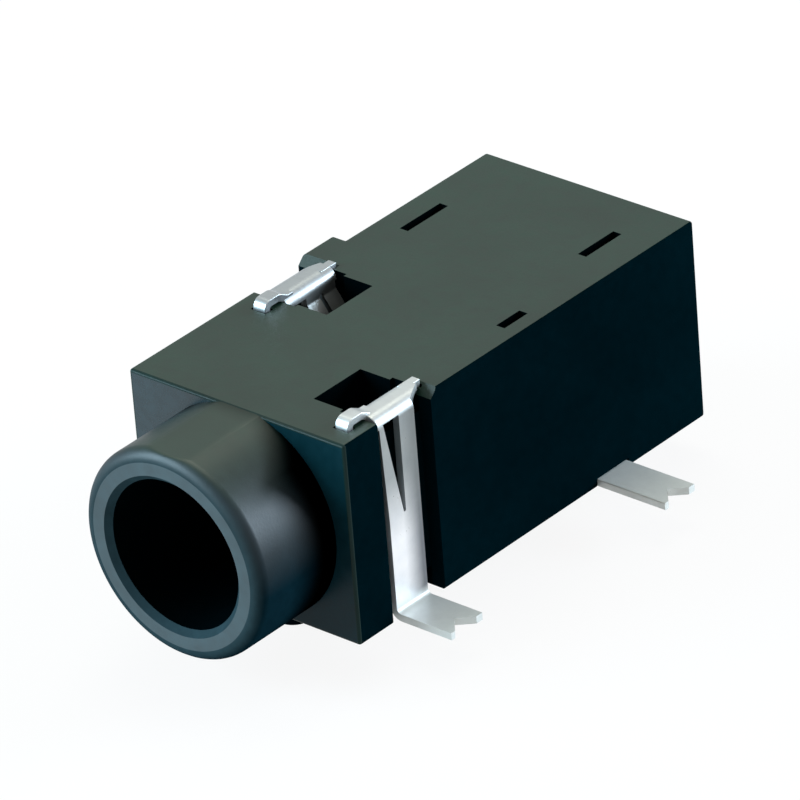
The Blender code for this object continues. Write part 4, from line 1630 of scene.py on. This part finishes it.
@dataclass
class FrontContact:
    """A front contact: foot, leg with a window, bridge with tongue and heel, forked arm."""

    shop: SheetShop
    side: Side
    node: str
    foot_reach: float = 4.50
    leg_gap: float = 0.18
    bridge_width: float = 0.37
    window_top: float = 0.52
    window_tip: float = 0.08
    window_tip_steps: int = 6
    window_length: float = 2.31
    rear_prong: float = 0.50
    arm_width: float = 0.98
    arm_rear_gap: float = 0.12
    arm_slit: float = 0.12
    arm_slit_drop: float = 0.3
    knee_drop: float = 0.40
    knee_step: float = 0.04
    slope_drop: float = 0.55
    slope_step: float = 0.40
    plug_radius: float = 1.75
    bite: float = 0.25
    tail_step: float = 0.29
    tail_drop: float = 1.2
    arm_bend: float = 0.50

    @property
    def leg_x(self) -> float:
        """The middle of the leg's sheet."""
        plan = self.shop.plan
        return plan.half_width - plan.leg_set_back - plan.half_sheet

    @property
    def arm_x(self) -> float:
        """Where the bridge turns down into the arm."""
        return self.leg_x - self.bridge_width - self.shop.plan.bend

    def strip(self, finish: bpy.types.Material) -> bpy.types.Object:
        """Folds the strip before it is stamped, from its foot to the end of its arm.

        Args:
            finish: The sheet's material.

        Returns:
            The folded strip.
        """
        plan = self.shop.plan
        touch_x = self.plug_radius - self.bite + plan.half_sheet
        knee_x = self.arm_x - self.knee_step
        knee_z = plan.bridge_z - self.knee_drop
        corners = [
            (self.foot_reach, plan.half_sheet, 0.0),
            (self.leg_x, plan.half_sheet, plan.bend),
            (self.leg_x, plan.bridge_z, plan.bend),
            (self.arm_x, plan.bridge_z, plan.bend),
            (knee_x, knee_z, plan.bend),
            (knee_x - self.slope_step, knee_z - self.slope_drop, self.arm_bend),
            (touch_x, plan.bore_z, self.arm_bend),
            (touch_x + self.tail_step, plan.bore_z - self.tail_drop, 0.0),
        ]
        low = plan.at(plan.slot_start + plan.fit)
        high = plan.at(plan.slot_end - plan.fit)
        return self.shop.fold(self.node, corners, Square.Y, low, high, finish)

    def lugs(self, finish: bpy.types.Material) -> Iterator[bpy.types.Object]:
        """Folds the two lugs that hold the bridge down.

        Args:
            finish: The sheet's material.

        Yields:
            The hooked tongue ahead of the bridge and the flat heel behind it.
        """
        plan = self.shop.plan
        start = plan.at(plan.slot_start)
        end = plan.at(plan.slot_end)
        tip = start - plan.tongue_length + plan.half_sheet
        rise = plan.bridge_z + plan.tongue_rise
        half_tongue = plan.tongue_width / 2.0
        half_heel = plan.heel_width / 2.0
        tongue = [
            (start + 2.0 * plan.sheet, plan.bridge_z, 0.0),
            (start + plan.sheet, plan.bridge_z, plan.sheet),
            (start - plan.half_sheet, rise, plan.sheet),
            (tip, rise, plan.half_sheet + plan.fit),
            (tip, rise - plan.tongue_end_drop, 0.0),
        ]
        heel = [
            (end - 2.0 * plan.sheet, plan.bridge_z, 0.0),
            (end + plan.heel_length, plan.bridge_z, 0.0),
        ]
        for name, path, half in (("tongue", tongue, half_tongue), ("heel", heel, half_heel)):
            low = plan.tongue_x - half
            high = plan.tongue_x + half
            yield self.shop.fold(name, path, Square.X, low, high, finish)

    def trims(self) -> Iterator[bpy.types.Object]:
        """Makes the cutters that stamp the strip.

        Yields:
            The cutters for its edges, the leg's window, the arm's fork and the foot's notch.
        """
        plan = self.shop.plan
        start = plan.at(plan.slot_start)
        end = plan.at(plan.slot_end)
        low = start - plan.overrun
        high = end + plan.overrun
        leg_inner = self.leg_x - plan.half_sheet - plan.fit
        leg_top = plan.bridge_z - plan.bend
        leg_y = start + self.leg_gap
        leg_end = leg_y + plan.foot_width
        past = self.foot_reach + plan.overrun
        front_edge = [
            (low, -plan.overrun),
            (leg_y, -plan.overrun),
            (leg_y, plan.bore_z),
            (start + 2.0 * plan.fit, leg_top),
            (low, leg_top),
        ]
        yield prism("front_trim", front_edge, Square.X, leg_inner, past)
        tongue_side = plan.tongue_x + plan.tongue_width / 2.0
        rear_edge = [
            (tongue_side, high),
            (tongue_side, end - 2.0 * plan.fit),
            (self.leg_x, leg_end),
            (past, leg_end),
            (past, high),
        ]
        over_tongue = plan.bridge_z + plan.tongue_rise + plan.overrun
        yield prism("rear_trim", rear_edge, Square.Z, -plan.overrun, over_tongue)
        window_rear = leg_end - self.rear_prong
        window_low = leg_top - self.window_length
        window_high = plan.bridge_z - plan.half_sheet - plan.fit
        tip = self.window_tip / 2.0
        window = [
            (window_rear, window_high),
            (window_rear - self.window_top, window_high),
            *arc((window_rear - tip, window_low + tip), tip, 180.0, 360.0, self.window_tip_steps),
        ]
        inner = self.arm_x + plan.sheet
        yield prism("window", window, Square.X, inner, self.leg_x + plan.sheet)
        arm_high = end - self.arm_rear_gap
        arm_low = arm_high - self.arm_width
        slit = (arm_low + arm_high - self.arm_slit) / 2.0
        past_arm = self.arm_x + plan.half_sheet + plan.fit
        slit_top = plan.top_z - self.arm_slit_drop
        yield box("arm_front_trim", (0.0, low, 0.0), (past_arm, arm_low, leg_top))
        yield box("arm_rear_trim", (0.0, arm_high, 0.0), (past_arm, high, leg_top))
        yield box("arm_slit", (0.0, slit, 0.0), (past_arm, slit + self.arm_slit, slit_top))
        yield self.shop.foot_notch(plan.slot_start + self.leg_gap, self.foot_reach, Side.RIGHT)

    def build(self, finish: bpy.types.Material) -> bpy.types.Object:
        """Makes the contact.

        Args:
            finish: The sheet's material.

        Returns:
            The finished piece.
        """
        strip = self.strip(finish)
        lugs = list(self.lugs(finish))
        trims = list(self.trims())
        if self.side is Side.LEFT:
            for shape in [strip, *lugs, *trims]:
                self.shop.plan.to_left(shape)
        solid = carve(carve(strip, lugs, "UNION"), trims, "DIFFERENCE")
        return self.shop.complete(solid, self.node, finish)


@dataclass
class TipContact:
    """The tip contact: foot, upright plate with its tab, and the beam that turns to the bore."""

    shop: SheetShop
    node: str = "tip_contact"
    beam_width: float = 1.0
    beam_straight: float = 0.35
    touch: float = 8.4
    bite: float = 0.55
    plug_radius: float = 1.75
    rest: float = 9.4
    beam_bend: float = 0.50

    def build(self, finish: bpy.types.Material) -> bpy.types.Object:
        """Makes the contact.

        Args:
            finish: The sheet's material.

        Returns:
            The finished piece.
        """
        plan = self.shop.plan
        start = plan.at(plan.plate_start)
        foot_end = plan.at(plan.rear_foot_start) + plan.foot_width
        tab_end = start + plan.tab_length
        plate_low = plan.sheet + plan.bend
        outline = [
            (start, plate_low),
            (foot_end, plate_low),
            (foot_end, plan.rail_height),
            (tab_end, plan.rail_height),
            (tab_end, plan.tab_z),
            (start, plan.tab_z),
        ]
        x = plan.plate_x
        plate = prism(self.node, outline, Square.X, x - plan.half_sheet, x + plan.half_sheet)
        touch_x = self.plug_radius - self.bite + plan.half_sheet
        rest_x = plan.blade_x + plan.sheet + plan.fit
        path = [
            (x, start, 0.0),
            (x, tab_end + self.beam_straight, self.beam_bend),
            (touch_x, plan.at(self.touch), self.beam_bend),
            (rest_x, plan.at(self.rest), self.beam_bend),
            (rest_x, plan.at(plan.beam_end), 0.0),
        ]
        low = plan.bore_z - self.beam_width / 2.0
        high = plan.bore_z + self.beam_width / 2.0
        beam = self.shop.fold("beam", path, Square.Z, low, high, finish)
        foot = self.shop.rear_foot(Side.RIGHT, x, finish)
        solid = carve(plate, [beam, foot], "UNION")
        notch = self.shop.foot_notch(plan.rear_foot_start, plan.rear_foot_reach, Side.RIGHT)
        return self.shop.complete(carve(solid, [notch], "DIFFERENCE"), self.node, finish)


@dataclass
class SwitchContact:
    """The stirrup under the bore that the tip contact's beam rests on."""

    shop: SheetShop
    node: str = "switch_contact"

    def build(self, finish: bpy.types.Material) -> bpy.types.Object:
        """Makes the contact.

        Args:
            finish: The sheet's material.

        Returns:
            The finished piece.
        """
        plan = self.shop.plan
        foot_start = plan.at(plan.rear_foot_start)
        blade = plan.at(plan.blade_start)
        blade_end = blade + plan.blade_length
        plate_end = foot_start + plan.stirrup_plate_length
        plate_low = plan.sheet + plan.bend
        outline = [
            (foot_start, plate_low),
            (blade_end, plate_low),
            (blade_end, plan.rail_height),
            (plate_end, plan.rail_height),
            (plate_end, plan.tab_z),
            (foot_start, plan.tab_z),
        ]
        x = -plan.stirrup_x
        plate = prism(self.node, outline, Square.X, x - plan.half_sheet, x + plan.half_sheet)
        path = [
            (x, plan.rail_height, 0.0),
            (x, plan.half_sheet, plan.bend),
            (plan.blade_x, plan.half_sheet, plan.bend),
            (plan.blade_x, plan.tab_z, 0.0),
        ]
        stirrup = self.shop.fold("stirrup", path, Square.Y, blade, blade_end, finish)
        foot = self.shop.rear_foot(Side.LEFT, plan.stirrup_x, finish)
        solid = carve(plate, [stirrup, foot], "UNION")
        notch = self.shop.foot_notch(plan.rear_foot_start, plan.rear_foot_reach, Side.LEFT)
        return self.shop.complete(carve(solid, [notch], "DIFFERENCE"), self.node, finish)


def main() -> None:
    """Builds the socket's finer pieces and its studio."""
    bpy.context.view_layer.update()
    plan = Plan.from_frame()
    shop = SheetShop(plan, StripTree())
    right = TinPlate()
    # The left contact's copy paints its bridge darker, a painted shade, and moves the painted rear
    # shade to its own leg.
    left_rear_shade_start = right.rear_shade_start + plan.left_shift * MM
    left = TinPlate(bridge=(0.33, 0.35, 0.36), rear_shade_start=left_rear_shade_start)
    # The rear contacts' copy has no painted rear shade.
    even = TinPlate(tin_rear_shade=right.tin, dull_rear_shade=right.dull)
    Housing(plan).build()
    FrontContact(shop, Side.RIGHT, "sleeve_contact").build(right.build("tin_plate_right"))
    FrontContact(shop, Side.LEFT, "ring_contact").build(left.build("tin_plate_left"))
    rear = even.build("tin_plate_rear")
    TipContact(shop).build(rear)
    SwitchContact(shop).build(rear)
    Studio().build()
    bpy.context.scene.view_settings.view_transform = "Standard"


if __name__ == "__main__":
    main()
